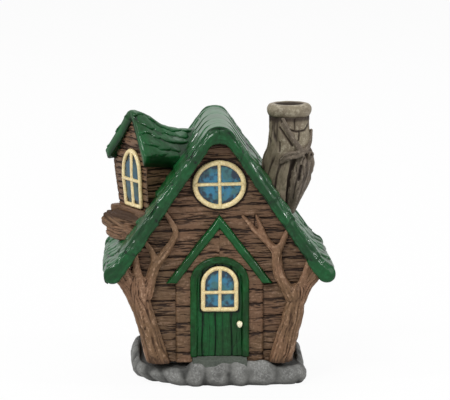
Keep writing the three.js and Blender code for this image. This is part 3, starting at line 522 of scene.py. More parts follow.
def plankDepth(u, v, width, height, spec, seed):
    # how deep the carving goes at each place, and how proud the wood stands, as two arrays
    rng = np.random.default_rng(seed)
    picture = strokePicture(width, height, spec, seed + 1)
    depth = spec["strokeDepth"] * samplePicture(picture, u, v, spec["cell"])
    flat = asPoints(u, v, 0.0)
    swell = np.zeros_like(u)
    edge = spec["firstSeam"]
    number = 0
    while edge < height + spec["plank"]:
        wave = 0.5 * np.sin(u * rng.uniform(0.03, 0.07) + rng.random() * 6)
        line = edge + (wave + 0.2 * np.sin(u * 0.31 + rng.random() * 6))
        strength = 0.45 + 0.55 * smoothStep(0.3, 0.55, latticeNoise(flat, 9.0, seed + 20 + number))
        depth = np.maximum(depth, spec["seamDepth"] * strength * bump((v - line) / spec["seamHalf"]))
        swell = swell + 0.25 * np.exp(-(((v - line) / 1.8) ** 2))
        joint = rng.random() * width
        if rng.random() < spec["joints"]:
            sawn = bump((u - joint - 0.1 * (v - line)) / 0.5)
            inPlank = (v > line) & (v < line + spec["plank"])
            depth = np.where(inPlank, np.maximum(depth, 0.8 * spec["seamDepth"] * sawn), depth)
        edge += spec["plank"] * rng.uniform(0.78, 1.22)
        number += 1
    depth = depth + swell - 0.22 * layeredNoise(flat, (16.0, 3.5, 9.0), seed + 3)
    return depth, 1 - np.clip(depth / (0.75 * spec["seamDepth"]), 0, 1)


def plankWall(heights, leftAt, rightAt, place, inward, thickness, columns, spec, seed, mitres=(0, 0)):
    # place(u, v) gives points of the flat face, inward is the unit vector into the wall and mitres cut
    # its two ends
    v = np.repeat(heights[:, None], columns, axis=1)
    left, right = leftAt(heights)[:, None], rightAt(heights)[:, None]
    u = left + (right - left) * np.linspace(0, 1, columns)
    depth, mark = plankDepth(u - u.min(), v - heights[0], np.ptp(u), np.ptp(heights), spec, seed)
    front = place(u, v) + np.asarray(inward, float) * np.clip(depth, -0.3, thickness * 0.6)[..., None]
    back = place(u[:, [0, -1]] + np.array([mitres[0], -mitres[1]]), v[:, [0, -1]])
    return plainBacked(front, back + np.asarray(inward, float) * thickness, mark)


# finishes
def newGroup(name, given, made):
    # a shader group; an input's kind follows from its value
    group = bpy.data.node_groups.new(name, "ShaderNodeTree")
    for label, value in given.items():
        kind = "Float" if isinstance(value, float) else {3: "Vector", 4: "Color"}[len(value)]
        socket = group.interface.new_socket(name=label, in_out="INPUT", socket_type="NodeSocket" + kind)
        socket.default_value = value
    for label, kind in made:
        group.interface.new_socket(name=label, in_out="OUTPUT", socket_type="NodeSocket" + kind)
    return group, addNode(group, "NodeGroupInput").outputs, addNode(group, "NodeGroupOutput").inputs


def addMix(tree, share, first, second, blend="MIX"):
    node = addNode(tree, "ShaderNodeMix", data_type="RGBA", blend_type=blend)
    for label, value in (("Factor", share), ("A", first), ("B", second)):
        kind = "VALUE" if label == "Factor" else "RGBA"
        socket = next(s for s in node.inputs if s.name == label and s.type == kind)
        if isinstance(value, float):
            socket.default_value = value
        else:
            tree.links.new(value, socket)
    return next(s for s in node.outputs if s.type == "RGBA")


def addRamp(tree, value, low, high):
    given = {"Value": value, "From Min": low, "From Max": high}
    return addNode(tree, "ShaderNodeMapRange", given, interpolation_type="SMOOTHSTEP").outputs["Result"]


def addNoise(tree, place, scale, detail=3.0, roughness=0.55):
    given = {"Vector": place, "Scale": scale, "Detail": detail, "Roughness": roughness}
    return addNode(tree, "ShaderNodeTexNoise", given).outputs["Fac"]


def objectPlace(tree):
    return addNode(tree, "ShaderNodeTexCoord").outputs["Object"]


def makeWashGroup():
    # dark wash that settles in the carving, a paler dry brush on the raised parts, and cloudy paint between
    group, given, result = newGroup("washAndDryBrush", {
        "Paint": (0.2, 0.1, 0.05, 1), "Wash": (0.02, 0.01, 0.01, 1), "Brushed": (0.4, 0.3, 0.2, 1),
        "Second Paint": (0.2, 0.1, 0.05, 1), "Relief": 1.0, "Wash Low": 0.25, "Wash High": 0.8,
        "Brush Amount": 0.5, "Cloud Scale": 60.0, "Fine Scale": 700.0, "Grain Place": (0, 0, 0),
        "Grain Stretch": (1, 1, 1), "Grain Amount": 0.0,
    }, (("Colour", "Color"), ("Mask", "Float"), ("Height", "Float")))
    place = objectPlace(group)
    cloud = addNoise(group, place, given["Cloud Scale"], 4.0)
    fine = addNoise(group, place, given["Fine Scale"], 3.0, 0.65)
    paint = addMix(group, addRamp(group, cloud, 0.38, 0.62), given["Paint"], given["Second Paint"])
    shaded = addMath(group, "MULTIPLY_ADD", fine, 0.7, 0.65)
    tone = addNode(group, "ShaderNodeCombineColor", {"Red": shaded, "Green": shaded, "Blue": shaded})
    paint = addMix(group, 1.0, paint, tone.outputs[0], "MULTIPLY")
    loose = addMath(group, "MULTIPLY_ADD", fine, 0.22, -0.11)
    stretched = addNode(group, "ShaderNodeVectorMath", {0: given["Grain Place"], 1: given["Grain Stretch"]},
                        operation="MULTIPLY")
    strokes = addRamp(group, addNoise(group, stretched.outputs[0], 1.0, 2.0), 0.52, 0.7)
    strokes = addMath(group, "MULTIPLY", strokes, given["Grain Amount"])
    relief = addMath(group, "SUBTRACT", addMath(group, "ADD", given["Relief"], loose), strokes)
    raised = addRamp(group, relief, given["Wash Low"], given["Wash High"])
    brushMask = addMath(group, "MULTIPLY", addRamp(group, relief, 0.86, 1.04),
                        addRamp(group, fine, 0.42, 0.66))
    brushed = addMath(group, "MULTIPLY", brushMask, given["Brush Amount"], clamp=True)
    paint = addMix(group, brushed, paint, given["Brushed"])
    group.links.new(addMix(group, raised, given["Wash"], paint), result["Colour"])
    group.links.new(addMath(group, "SUBTRACT", 1.0, raised), result["Mask"])
    height = addMath(group, "SUBTRACT", fine, addMath(group, "MULTIPLY", strokes, 2.5))
    group.links.new(height, result["Height"])
    return group


def makePoolGroup():
    # coloured glaze that pools dark in places
    group, given, result = newGroup("pooledGlaze", {
        "Thin": (0.05, 0.3, 0.5, 1), "Pooled": (0.01, 0.05, 0.15, 1), "Misted": (0.05, 0.2, 0.2, 1),
        "Relief": 1.0, "Pool Scale": 150.0, "Pool Level": 0.55, "Pool Edge": 0.08,
    }, (("Colour", "Color"), ("Mask", "Float"), ("Height", "Float")))
    place = objectPlace(group)
    pools = addNoise(group, place, given["Pool Scale"], 2.5)
    top = addMath(group, "ADD", given["Pool Level"], given["Pool Edge"])
    rimShare = addMath(group, "MULTIPLY", addMath(group, "SUBTRACT", 1.0, given["Relief"]), 0.2)
    mask = addRamp(group, addMath(group, "ADD", pools, rimShare), given["Pool Level"], top)
    cloud = addNoise(group, place, addMath(group, "MULTIPLY", given["Pool Scale"], 0.4), 3.0)
    base = addMix(group, addRamp(group, cloud, 0.42, 0.62), given["Thin"], given["Misted"])
    group.links.new(addMix(group, mask, base, given["Pooled"]), result["Colour"])
    group.links.new(mask, result["Mask"])
    group.links.new(pools, result["Height"])
    return group


def finish(name, group, spec):
    # a material round one of the groups; roughness goes from a clean to a washed or pooled spot,
    # bump is its strength and its height in metres, and grainAlong names the mark that the grain follows
    material, tree, shader = newMaterial(name)
    paint = addNode(tree, "ShaderNodeGroup", node_tree=group)
    for label, value in spec.items():
        if label in paint.inputs:
            isColour = paint.inputs[label].type == "RGBA"
            paint.inputs[label].default_value = (*value, 1) if isColour else value
        elif label in shader.inputs:
            shader.inputs[label].default_value = value
    relief = addNode(tree, "ShaderNodeAttribute", attribute_name="relief").outputs["Fac"]
    tree.links.new(relief, paint.inputs["Relief"])
    if "Grain Place" in paint.inputs:
        grain = objectPlace(tree)
        if "grainAlong" in spec:
            grain = addNode(tree, "ShaderNodeAttribute", attribute_name=spec["grainAlong"]).outputs["Vector"]
        tree.links.new(grain, paint.inputs["Grain Place"])
    low, high = spec["roughness"]
    rough = addNode(tree, "ShaderNodeMapRange", {
        "Value": paint.outputs["Mask"], "To Min": low, "To Max": high})
    strength, distance = spec["bump"]
    raised = addNode(tree, "ShaderNodeBump", {
        "Strength": strength, "Distance": distance, "Height": paint.outputs["Height"]})
    for made, label in ((paint.outputs["Colour"], "Base Color"), (rough.outputs["Result"], "Roughness"),
                        (raised.outputs["Normal"], "Normal")):
        tree.links.new(made, shader.inputs[label])
    return material


timberPaint = {
    "Paint": (0.158, 0.087, 0.05), "Second Paint": (0.136, 0.081, 0.044), "Wash": (0.024, 0.012, 0.007),
    "Brushed": (0.33, 0.215, 0.145), "Wash Low": 0.08, "Wash High": 0.62, "Brush Amount": 0.5,
    "Cloud Scale": 42.0, "Fine Scale": 620.0, "roughness": (0.42, 0.6), "bump": (0.3, 0.0003),
    "Specular IOR Level": 0.2, "Grain Amount": 0.42, "Grain Stretch": (105.0, 105.0, 640.0),
}
barkPaint = timberPaint | {
    "Paint": (0.215, 0.118, 0.068), "Second Paint": (0.165, 0.095, 0.05), "Wash": (0.05, 0.026, 0.014),
    "Brushed": (0.4, 0.26, 0.17), "Wash Low": 0.0, "Wash High": 0.8, "Brush Amount": 0.75,
    "Cloud Scale": 45.0, "Fine Scale": 560.0, "roughness": (0.45, 0.6), "Grain Amount": 0.5,
    "Grain Stretch": (1.3, 1.3, 0.11), "grainAlong": "alongBark",
}
greenPaint = {
    "Paint": (0.006, 0.08, 0.019), "Second Paint": (0.009, 0.052, 0.013), "Wash": (0.002, 0.01, 0.004),
    "Brushed": (0.02, 0.14, 0.05), "Wash Low": 0.05, "Wash High": 0.7, "Brush Amount": 0.3,
    "Cloud Scale": 60.0, "Fine Scale": 420.0, "roughness": (0.34, 0.4), "bump": (0.1, 0.0003),
    "Specular IOR Level": 0.08, "Coat Weight": 0.17, "Coat IOR": 1.9, "Coat Roughness": 0.05,
}
creamPaint = {
    "Paint": (0.76, 0.61, 0.3), "Second Paint": (0.66, 0.5, 0.24), "Wash": (0.16, 0.09, 0.03),
    "Brushed": (0.9, 0.84, 0.55), "Wash Low": 0.1, "Wash High": 0.62, "Brush Amount": 0.4,
    "Cloud Scale": 160.0, "Fine Scale": 700.0, "roughness": (0.35, 0.5), "bump": (0.25, 0.0003),
    "Coat Weight": 0.2, "Coat Roughness": 0.1,
}
stonePaint = {
    "Paint": (0.185, 0.185, 0.174), "Second Paint": (0.13, 0.13, 0.122), "Wash": (0.034, 0.034, 0.032),
    "Brushed": (0.36, 0.36, 0.35), "Wash Low": 0.0, "Wash High": 0.95, "Brush Amount": 0.46,
    "Cloud Scale": 150.0, "Fine Scale": 980.0, "roughness": (0.7, 0.85), "bump": (0.45, 0.0003),
    "Specular IOR Level": 0.3,
}
stumpPaint = {
    "Paint": (0.22, 0.185, 0.125), "Second Paint": (0.165, 0.13, 0.09), "Wash": (0.028, 0.018, 0.012),
    "Brushed": (0.42, 0.38, 0.29), "Wash Low": 0.1, "Wash High": 0.8, "Brush Amount": 0.6,
    "Cloud Scale": 75.0, "Fine Scale": 600.0, "roughness": (0.55, 0.7), "bump": (0.35, 0.0003),
    "Specular IOR Level": 0.3,
}
dishPaint = {
    "Paint": (0.62, 0.44, 0.18), "Second Paint": (0.5, 0.34, 0.14), "Wash": (0.08, 0.05, 0.02),
    "Brushed": (0.8, 0.62, 0.32), "Wash Low": 0.0, "Wash High": 0.5, "Brush Amount": 0.3,
    "Cloud Scale": 200.0, "Fine Scale": 900.0, "roughness": (0.33, 0.6), "bump": (0.12, 0.0003),
    "Metallic": 1.0,
}
paneGlaze = {
    "Thin": (0.02, 0.18, 0.31), "Misted": (0.03, 0.14, 0.15), "Pooled": (0.004, 0.022, 0.045),
    "Pool Scale": 330.0, "Pool Level": 0.46, "Pool Edge": 0.24, "roughness": (0.12, 0.24),
    "bump": (0.25, 0.0004), "Coat Weight": 0.3, "Coat Roughness": 0.08, "Specular IOR Level": 0.4,
}
washGroup, poolGroup = makeWashGroup(), makePoolGroup()
timber = finish("carvedTimber", washGroup, timberPaint)
bark = finish("barkGlaze", washGroup, barkPaint)
green = finish("greenGlaze", washGroup, greenPaint)
doorGreen = finish("doorGreen", washGroup, greenPaint | {"Coat Weight": 0.09})
frameGreen = finish("frameGreen", washGroup, greenPaint | {
    "Coat Weight": 0.08, "Paint": (0.0055, 0.06, 0.011), "Second Paint": (0.007, 0.04, 0.009)})
boardGreen = finish("boardGreen", washGroup, greenPaint | {
    "Coat Weight": 0.15, "Paint": (0.004, 0.068, 0.016), "Second Paint": (0.005, 0.043, 0.011)})
cream = finish("creamPaint", washGroup, creamPaint)
knobCream = finish("knobCream", washGroup, creamPaint | {
    "Paint": (0.84, 0.78, 0.56), "Second Paint": (0.76, 0.68, 0.45)})
stone = finish("greyStone", washGroup, stonePaint)
wornStone = finish("wornStepStone", washGroup, stonePaint | {
    "Paint": (0.074, 0.086, 0.07), "Second Paint": (0.058, 0.069, 0.055), "Brushed": (0.16, 0.17, 0.15),
    "Brush Amount": 0.3, "Fine Scale": 1100.0})
stump = finish("stumpStone", washGroup, stumpPaint)
burlGlaze = finish("burlGlaze", washGroup, stumpPaint | {
    "Paint": (0.155, 0.122, 0.09), "Second Paint": (0.11, 0.085, 0.062), "Wash": (0.02, 0.013, 0.009),
    "Brushed": (0.33, 0.28, 0.215), "Grain Amount": 0.3, "Grain Stretch": (1.3, 1.3, 0.11),
    "grainAlong": "alongBark"})
brass = finish("smokedBrass", washGroup, dishPaint)
blue = finish("bluePane", poolGroup, paneGlaze)
dusk = finish("duskPane", poolGroup, paneGlaze | {
    "Thin": (0.026, 0.085, 0.13), "Misted": (0.035, 0.075, 0.07), "Pooled": (0.005, 0.012, 0.016),
    "Pool Scale": 300.0, "Pool Level": 0.5, "Coat Weight": 0.1, "Specular IOR Level": 0.15})
print("finishes ready")


# the house's plan, as the CAD has it, in millimetres
house = {
    "wallFoot": 13.0,
    "halfDepth": 38.0,
    "footHalf": 36.0,
    "eaveHalf": 48.0,
    "wallThickness": 4.5,
    "pitch": math.radians(56),
    "ridgeHeight": 140.2,
    "ridgeRadius": 9.0,
    "soffitRadius": 6.85,
    "roofThickness": 5.7,
    "roofHalfDepth": 46.0,
    "eaveSpan": 59.5,
    "eaveDrop": 53.6,
    "eaveBulge": 5.2,
    "flareStart": 48.0,
    "flareRate": 0.0435,
    "deck": 10.5,
}
slope = math.tan(house["pitch"])
pitchCos = math.cos(house["pitch"])
roofApex = house["ridgeHeight"] + house["ridgeRadius"] * (1 / pitchCos - 1)
soffitApex = roofApex - house["roofThickness"] / pitchCos
eaveHeight = soffitApex - house["eaveHalf"] * slope
wallHeight = eaveHeight - house["wallFoot"]
frontFace = -house["halfDepth"]


def wallHalfAt(z):
    return house["footHalf"] + (house["eaveHalf"] - house["footHalf"]) * (z - house["wallFoot"]) / wallHeight


def wallHalfBeside(points):
    return wallHalfAt(np.clip(points[:, 2], house["wallFoot"], eaveHeight))


def roofLine(x, apex, radius):
    # height of a roof's line over x, rounded at the ridge
    across = np.abs(x)
    arc = apex - radius / pitchCos + np.sqrt(np.clip(radius**2 - across**2, 0, None))
    return np.where(across < radius * math.sin(house["pitch"]), arc, apex - across * slope)


def roofTop(x):
    flare = house["flareRate"] * np.clip(np.abs(x) - house["flareStart"], 0, None) ** 2
    return roofLine(x, roofApex, house["ridgeRadius"]) + flare


def soffit(x):
    return roofLine(x, soffitApex, house["soffitRadius"])


def keepOnRoof(points, into=2.5):
    # what would hang through the roof into the house ends inside its thickness
    points = points.copy()
    over = (np.abs(points[:, 0]) < house["eaveSpan"]) & (np.abs(points[:, 1]) < house["roofHalfDepth"])
    limit = roofTop(points[:, 0]) - into / pitchCos
    points[:, 2] = np.where(over, np.maximum(points[:, 2], limit), points[:, 2])
    return points


def keepOutOfHouse(points, into=1.4):
    # what would come through a wall ends inside the wall
    points = points.copy()
    half = wallHalfBeside(points) - into
    sideways = half - np.abs(points[:, 0])
    depthways = house["halfDepth"] - into - np.abs(points[:, 1])
    inside = (sideways > 0) & (depthways > 0)
    bySide = inside & (sideways < depthways)
    byFront = inside & ~bySide
    points[bySide, 0] = (np.sign(points[:, 0]) * half)[bySide]
    points[byFront, 1] = np.sign(points[byFront, 1]) * (house["halfDepth"] - into)
    points[:, 2] = np.maximum(points[:, 2], house["wallFoot"])
    return points


# outlines of windows
gableWindow = {"halfWidth": 14.3, "halfHeight": 13.1, "middle": house["ridgeHeight"] - 31.2}
doorWindow = {"outline": (10.2, 40.7, 65.7, 10.2)}  # half width, sill, top, rise of the arch


def archLine(half, bottom, top, archRise, inset=0.0, corner=0.7):
    # from the lower left corner round the arch to the lower right, with small rounded corners
    half, bottom, rise, spring = half - inset, bottom + inset, archRise - inset, top - archRise
    turn = np.pi * np.linspace(1.5, 1, 5)
    low = asPoints(corner - half + corner * np.cos(turn), bottom + corner + corner * np.sin(turn))
    side = asPoints(-half, np.linspace(bottom + corner + 0.6, spring - 0.4, 14))
    left = np.concatenate([low, side])
    turn = np.linspace(np.pi, 0, 44)
    arch = asPoints(half * np.cos(turn), spring + rise * np.sin(turn))
    sill = asPoints(np.linspace(half - corner - 0.6, -half + corner + 0.6, 16), bottom)
    return np.concatenate([left, arch, left[::-1] * [-1, 1], sill])


def ellipseLine(rx, rz, inset=0.0):
    turn = np.linspace(0, 2 * np.pi, 97)[:-1]
    return asPoints((rx - inset) * np.cos(turn), (rz - inset) * np.sin(turn))


# walls of carved planks
planks = {
    "plank": 8.6,
    "firstSeam": 6.0,
    "seamDepth": 0.95,
    "seamHalf": 0.5,
    "strokes": 0.155,
    "strokeHalf": (1.8, 7.5),
    "strokeThick": (0.2, 0.38),
    "strokeDepth": 0.8,
    "joints": 0.06,
    "cell": 0.25,
    # how far apart the rows of points lie in each wall, and how many points are in a row
    "front": (0.26, 180),
    "back": (0.32, 160),
    "side": (0.3, 150),
}


def gableHalf(z):
    # half width of a gable at each height, up into the roof by a little
    return np.maximum(np.minimum(wallHalfAt(z), (soffitApex + 1.6 - z) / slope), 1.2)


def besideLine(points, line, reach=1.0):
    # 0 on an outline given as x and z, 1 away from it
    gap = np.full(len(points), np.inf)
    for x, z in line:
        gap = np.minimum(gap, np.hypot(points[:, 0] - x, points[:, 2] - z))
    return smoothStep(0.45 * reach, reach, gap)


def makeGable(name, node, facing, seed, fineness):
    step, columns = fineness
    rows = np.arange(house["wallFoot"], soffitApex - 3.0, step)

    def place(u, v):
        return asPoints(-facing * u, facing * house["halfDepth"], v)

    points, quads, tris, marks = plankWall(rows, lambda z: -gableHalf(z), gableHalf, place, (0, -facing, 0),
                                           house["wallThickness"], columns, planks, seed)
    # painted shade darkens the planks just under the roof
    marks = marks * (0.5 + 0.5 * smoothStep(0, 5, soffit(points[:, 0]) - points[:, 2]))
    if facing < 0:
        outline = ellipseLine(gableWindow["halfWidth"], gableWindow["halfHeight"])
        # painted shade: the planks darken in a thin ring round the window's frame
        marks = marks * besideLine(points, outline + [0, gableWindow["middle"]], 1.7)
    solidShells(name, [(points, quads, tris, marks)], "house", node, timber)


def makeSideWall(name, node, side, seed):
    step, columns = planks["side"]
    rows = np.arange(house["wallFoot"], eaveHeight + 4.0, step)
    end = house["halfDepth"] - house["wallThickness"] + 0.6

    def place(u, v):
        return asPoints(side * wallHalfAt(v), side * u, v)

    points, *rest = plankWall(rows, lambda z: 0 * z - end, lambda z: 0 * z + end, place, (-side, 0, 0),
                              house["wallThickness"], columns, planks, seed)
    points[:, 2] = np.minimum(points[:, 2], soffit(points[:, 0]) + 1.5)
    solidShells(name, [(points, *rest)], "house", node, timber)


makeGable("carved_front_wall", "front_wall", -1, 11, planks["front"])
makeGable("carved_back_wall", "back_wall", 1, 47, planks["back"])
makeSideWall("carved_left_wall", "left_wall", -1, 23)
makeSideWall("carved_right_wall", "right_wall", 1, 31)
print("walls carved")

# porch: jambs beside the door, the board over it, and the two green gable boards
porch = {
    "half": 23.5,
    "depth": 2.5,
    "top": 92.9,
    "reach": 28.6,
    "drop": 37.1,
    "boardWidth": 7.6,
    "boardDepth": 3.8,
    "planks": planks | {"plank": 9.4, "firstSeam": 4.5, "seamDepth": 1.2, "strokes": 0.26,
                        "strokeHalf": (1.2, 4.0), "joints": 0.0},
}
porchSlope = porch["drop"] / porch["reach"]
door = {
    "half": 15.4,
    "foot": 16.6,
    "rise": 53.6,
    "archRise": 13.5,
    "frameWidth": 3.2,
    "frameDepth": 4.3,
    "leafDepth": 2.7,
    "grooves": (-9.2, -2.2, 6.4, 12.4),
    "fineGrooves": (-12.6, -5.6, 1.6, 9.6),
    "knob": (10.6, 35.0),
    # the knob's radius at each distance from the door
    "knobProfile": ((0.7, 0.0), (0.68, 1.2), (1.15, 1.9), (1.6, 2.9), (1.5, 3.9), (0.9, 4.5), (0.25, 4.7)),
}
doorTop = door["foot"] + door["rise"]


def archHalf(z, half, top, archRise):
    # half width of an arched opening at each height
    share = np.clip((z - top + archRise) / archRise, 0, 1)
    return half * np.sqrt(np.clip(1 - share**2, 0, 1))


def makePorchPanel():
    under = porch["top"] - porch["boardWidth"] + 1.5
    rows = np.arange(house["wallFoot"], under - 1.5, 0.4)

    def inner(z):
        return archHalf(z, door["half"] - 0.6, doorTop - 0.6, door["archRise"]) + 0.01

    def outer(z):
        return np.maximum(np.minimum(porch["half"], (under - z) / porchSlope), inner(z) + 0.3)

    shells = []
    for side in (-1, 1):
        points, quads, tris, marks = plankWall(
            rows, inner, outer, lambda u, v: asPoints(side * u, frontFace - porch["depth"], v), (0, 1, 0),
            porch["depth"] + 0.5, 60, porch["planks"], 61 + side)
        # the jambs' outer edges are rounded over
        height = points[:, 2]
        edge = np.minimum(porch["half"], (under - height) / porchSlope) - np.abs(points[:, 0])
        jamb = height < under - porch["half"] * porchSlope
        drop = np.where(jamb, 1.4 * np.clip(1 - edge / 1.6, 0, 1) ** 2, 0)
        points[:, 1] = np.minimum(points[:, 1] + drop, frontFace + 0.5)
        # painted shade: the jambs darken towards their rounded outer edges
        marks = marks * np.where(jamb, smoothStep(-0.2, 0.9, edge) * 0.7 + 0.3, 1)
        shells.append((points, quads, tris, marks))
    solidShells("carved_porch_panel", shells, "house", "porch_panel", timber)


def makePorchBoards():
    # both boards as one sheet that bends at the peak, with soft edges and level ends
    across = np.linspace(-1, 1, 230)[None, :]
    v = np.linspace(0, 1, 26)[:, None]
    width, lean = porch["boardWidth"], math.cos(math.atan(porchSlope))
    x = across * (porch["reach"] - (1 - v) * width / porchSlope)
    wave = 0.3 * layeredNoise(asPoints(x, 0, 0), 6.0, 78)
    z = porch["top"] - np.abs(x) * porchSlope - (1 - v) * width + wave
    fromEdge = np.minimum(v, 1 - v) * width * lean + 0 * x
    fromEnd = (1 - np.abs(across)) * porch["reach"] / lean
    soft = np.clip(1 - np.minimum(fromEdge, fromEnd) / 1.5, 0, 1)
    sample = asPoints(np.abs(x) / lean + 40 * (x < 0), v * width, 5)
    lump = 0.35 * layeredNoise(sample, (8.0, 4.0, 5.0), 71)
    grain = creases(sample, (14.0, 0.9, 5.0), 76, 0.74)
    out = porch["boardDepth"] * (0.3 + 0.7 * np.sqrt(bump(soft))) + (lump - 0.14 * grain) * (1 - soft)
    # the grain is dark, and painted shade darkens the boards towards their edges
    marks = (1 - 0.4 * grain) * (0.5 + 0.5 * smoothStep(0, 0.8, fromEdge))
    sheet = closedSheet(asPoints(x, frontFace - out, z), asPoints(x, frontFace + 0.4, z), marks)
    solidShells("porch_gable_boards", [sheet], "house", "porch_gable_trim", doorGreen)


def makeDoorLeaf():
    rows = np.arange(door["foot"] - 0.2, doorTop - door["frameWidth"] + 1.2, 0.36)
    top = doorTop - door["frameWidth"] + 0.8
    reach = archHalf(rows, door["half"] - door["frameWidth"] + 0.8, top, door["archRise"] - 2.4)
    u = np.maximum(reach, 0.6)[:, None] * np.linspace(-1, 1, 110)
    v = rows[:, None] + 0 * u
    sample = asPoints(u, v, 3.0)
    depth = 0.2 * creases(sample, (0.8, 12.0, 5.0), 83, 0.62)
    depth = depth + 0.28 * creases(sample, (1.5, 9.0, 5.0), 84, 0.8)
    cut = np.zeros_like(u)
    for number, place in enumerate(door["grooves"] + door["fineGrooves"]):
        # the depth and half width of a groove, and how far the wood beside it sinks
        deep, half, sink = (0.95, 0.5, 0.3) if number < len(door["grooves"]) else (0.6, 0.35, 0.1)
        gap = u - place - 0.25 * np.sin(v * 0.21 + number * 1.7)
        cut = np.maximum(cut, deep * bump(gap / half))
        depth = depth + sink * np.exp(-((gap / 1.1) ** 2))
    depth = np.maximum(depth, cut)
    carved = asPoints(u, frontFace - door["leafDepth"] + depth, v)
    points, quads, tris, marks = closedSheet(carved, asPoints(u, frontFace + 0.3, v),
                                             1 - np.clip(depth / 0.9, 0, 1))
    # painted shade: the leaf darkens in a thin ring round the window's frame
    marks = marks * besideLine(points, archLine(*doorWindow["outline"]))
    solidShells("planked_door_leaf", [(points, quads, tris, marks)], "house", "door_leaf", doorGreen)


def makeDoorFrame():
    # an arch with a flat, grained face and rounded edges, swept round the opening
    width, foot = door["frameWidth"] + 0.5, door["foot"] - 0.4
    middle, spring = door["half"] - width / 2 + 0.3, doorTop - door["archRise"]
    turn = np.linspace(0, math.pi, 60)
    rise = door["archRise"] - width / 2 + 0.3
    line = np.concatenate([asPoints(-middle, np.arange(foot, spring, 0.8)),
                           asPoints(-middle * np.cos(turn), spring + rise * np.sin(turn)),
                           asPoints(middle, np.append(np.arange(spring, foot, -0.8)[1:], foot))])
    along = unit(np.gradient(line, axis=0))
    run, turn = runLengths(line)[:, None], fullTurn(26)
    sideways = softCos(turn, 0.55) * width / 2
    lift = softSin(turn, 0.6) * door["frameDepth"] / 2
    sample = asPoints(run, sideways, lift)
    groove = 0.22 * creases(sample, (13.0, 0.8, 3.0), 91, 0.68)
    lump = 0.18 * layeredNoise(sample, (8.0, 3.0, 3.0), 92)
    outmost = np.clip(lift / (door["frameDepth"] / 2), 0, 1)
    out = door["frameDepth"] / 2 + lift - (groove - lump) * outmost
    rings = asPoints(line[:, :1] - along[:, 1:] * sideways, frontFace - out,
                     line[:, 1:] + along[:, :1] * sideways)
    solidShells("arched_door_frame", [closedRings(rings, 1 - groove / 0.22 * 0.6)], "house",
                "door_frame", frameGreen)


def makeKnob():
    # a drop of glaze on a short neck
    radius, out = curvePoints(door["knobProfile"], 5).T[..., None]
    turn = fullTurn(28)
    x = door["knob"][0] + radius * np.cos(turn) * 0.92
    z = door["knob"][1] + radius * (np.sin(turn) * 1.08 + 0.14 * np.cos(2 * turn)) - 0.16 * out
    rings = asPoints(x, frontFace - door["leafDepth"] - out, z)
    solidShells("drop_door_knob", [closedRings(rings)], "house", "door_knob", knobCream)


makePorchPanel()
makePorchBoards()
makeDoorLeaf()
makeDoorFrame()
makeKnob()
print("porch and door made")


# geometry nodes: a moulding that follows a path, and shingles that follow guide points
def newTree(name, given):
    tree = bpy.data.node_groups.new(name, "GeometryNodeTree")
    tree.interface.new_socket(name="Geometry", in_out="OUTPUT", socket_type="NodeSocketGeometry")
    for label, kind, value in (("Geometry", "Geometry", None), *given):
        socket = tree.interface.new_socket(name=label, in_out="INPUT", socket_type="NodeSocket" + kind)
        if value is not None:
            socket.default_value = value
    return tree, addNode(tree, "NodeGroupInput").outputs


def endTree(tree, shape, material):
    real = addNode(tree, "GeometryNodeRealizeInstances", {"Geometry": shape})
    paint = addNode(tree, "GeometryNodeSetMaterial", {
        "Geometry": real.outputs["Geometry"], "Material": material})
    addNode(tree, "NodeGroupOutput", {"Geometry": paint.outputs["Geometry"]})
    return tree


def makeMouldingTree():
    tree, given = newTree("mouldingOnPath", (
        ("Width", "Float", 0.0023), ("Height", "Float", 0.0018), ("Sides", "Int", 14),
        ("Wobble", "Float", 0.0001), ("Wobble Scale", "Float", 260.0), ("Seed", "Float", 3.0),
        ("Material", "Material", None)))
    circle = addNode(tree, "GeometryNodeCurvePrimitiveCircle", {"Radius": 0.5, "Resolution": given["Sides"]})
    size = addNode(tree, "ShaderNodeCombineXYZ", {"X": given["Width"], "Y": given["Height"], "Z": 1.0})
    profile = addNode(tree, "GeometryNodeTransform", {
        "Geometry": circle.outputs["Curve"], "Scale": size.outputs[0]})
    path = addNode(tree, "GeometryNodeMeshToCurve", {"Mesh": given["Geometry"]})
    sweep = addNode(tree, "GeometryNodeCurveToMesh", {
        "Fill Caps": True, "Curve": path.outputs["Curve"], "Profile Curve": profile.outputs["Geometry"]})
    noise = addNode(tree, "ShaderNodeTexNoise", {
        "Scale": given["Wobble Scale"], "W": given["Seed"], "Detail": 2.0}, noise_dimensions="4D")
    centred = addNode(tree, "ShaderNodeVectorMath", {0: noise.outputs["Color"], 1: (0.5, 0.5, 0.5)},
                      operation="SUBTRACT")
    reach = addNode(tree, "ShaderNodeVectorMath", {0: centred.outputs[0], "Scale": given["Wobble"]},
                    operation="SCALE")
    shake = addNode(tree, "GeometryNodeSetPosition", {
        "Geometry": sweep.outputs["Mesh"], "Offset": reach.outputs[0]})
    return endTree(tree, shake.outputs["Geometry"], given["Material"])


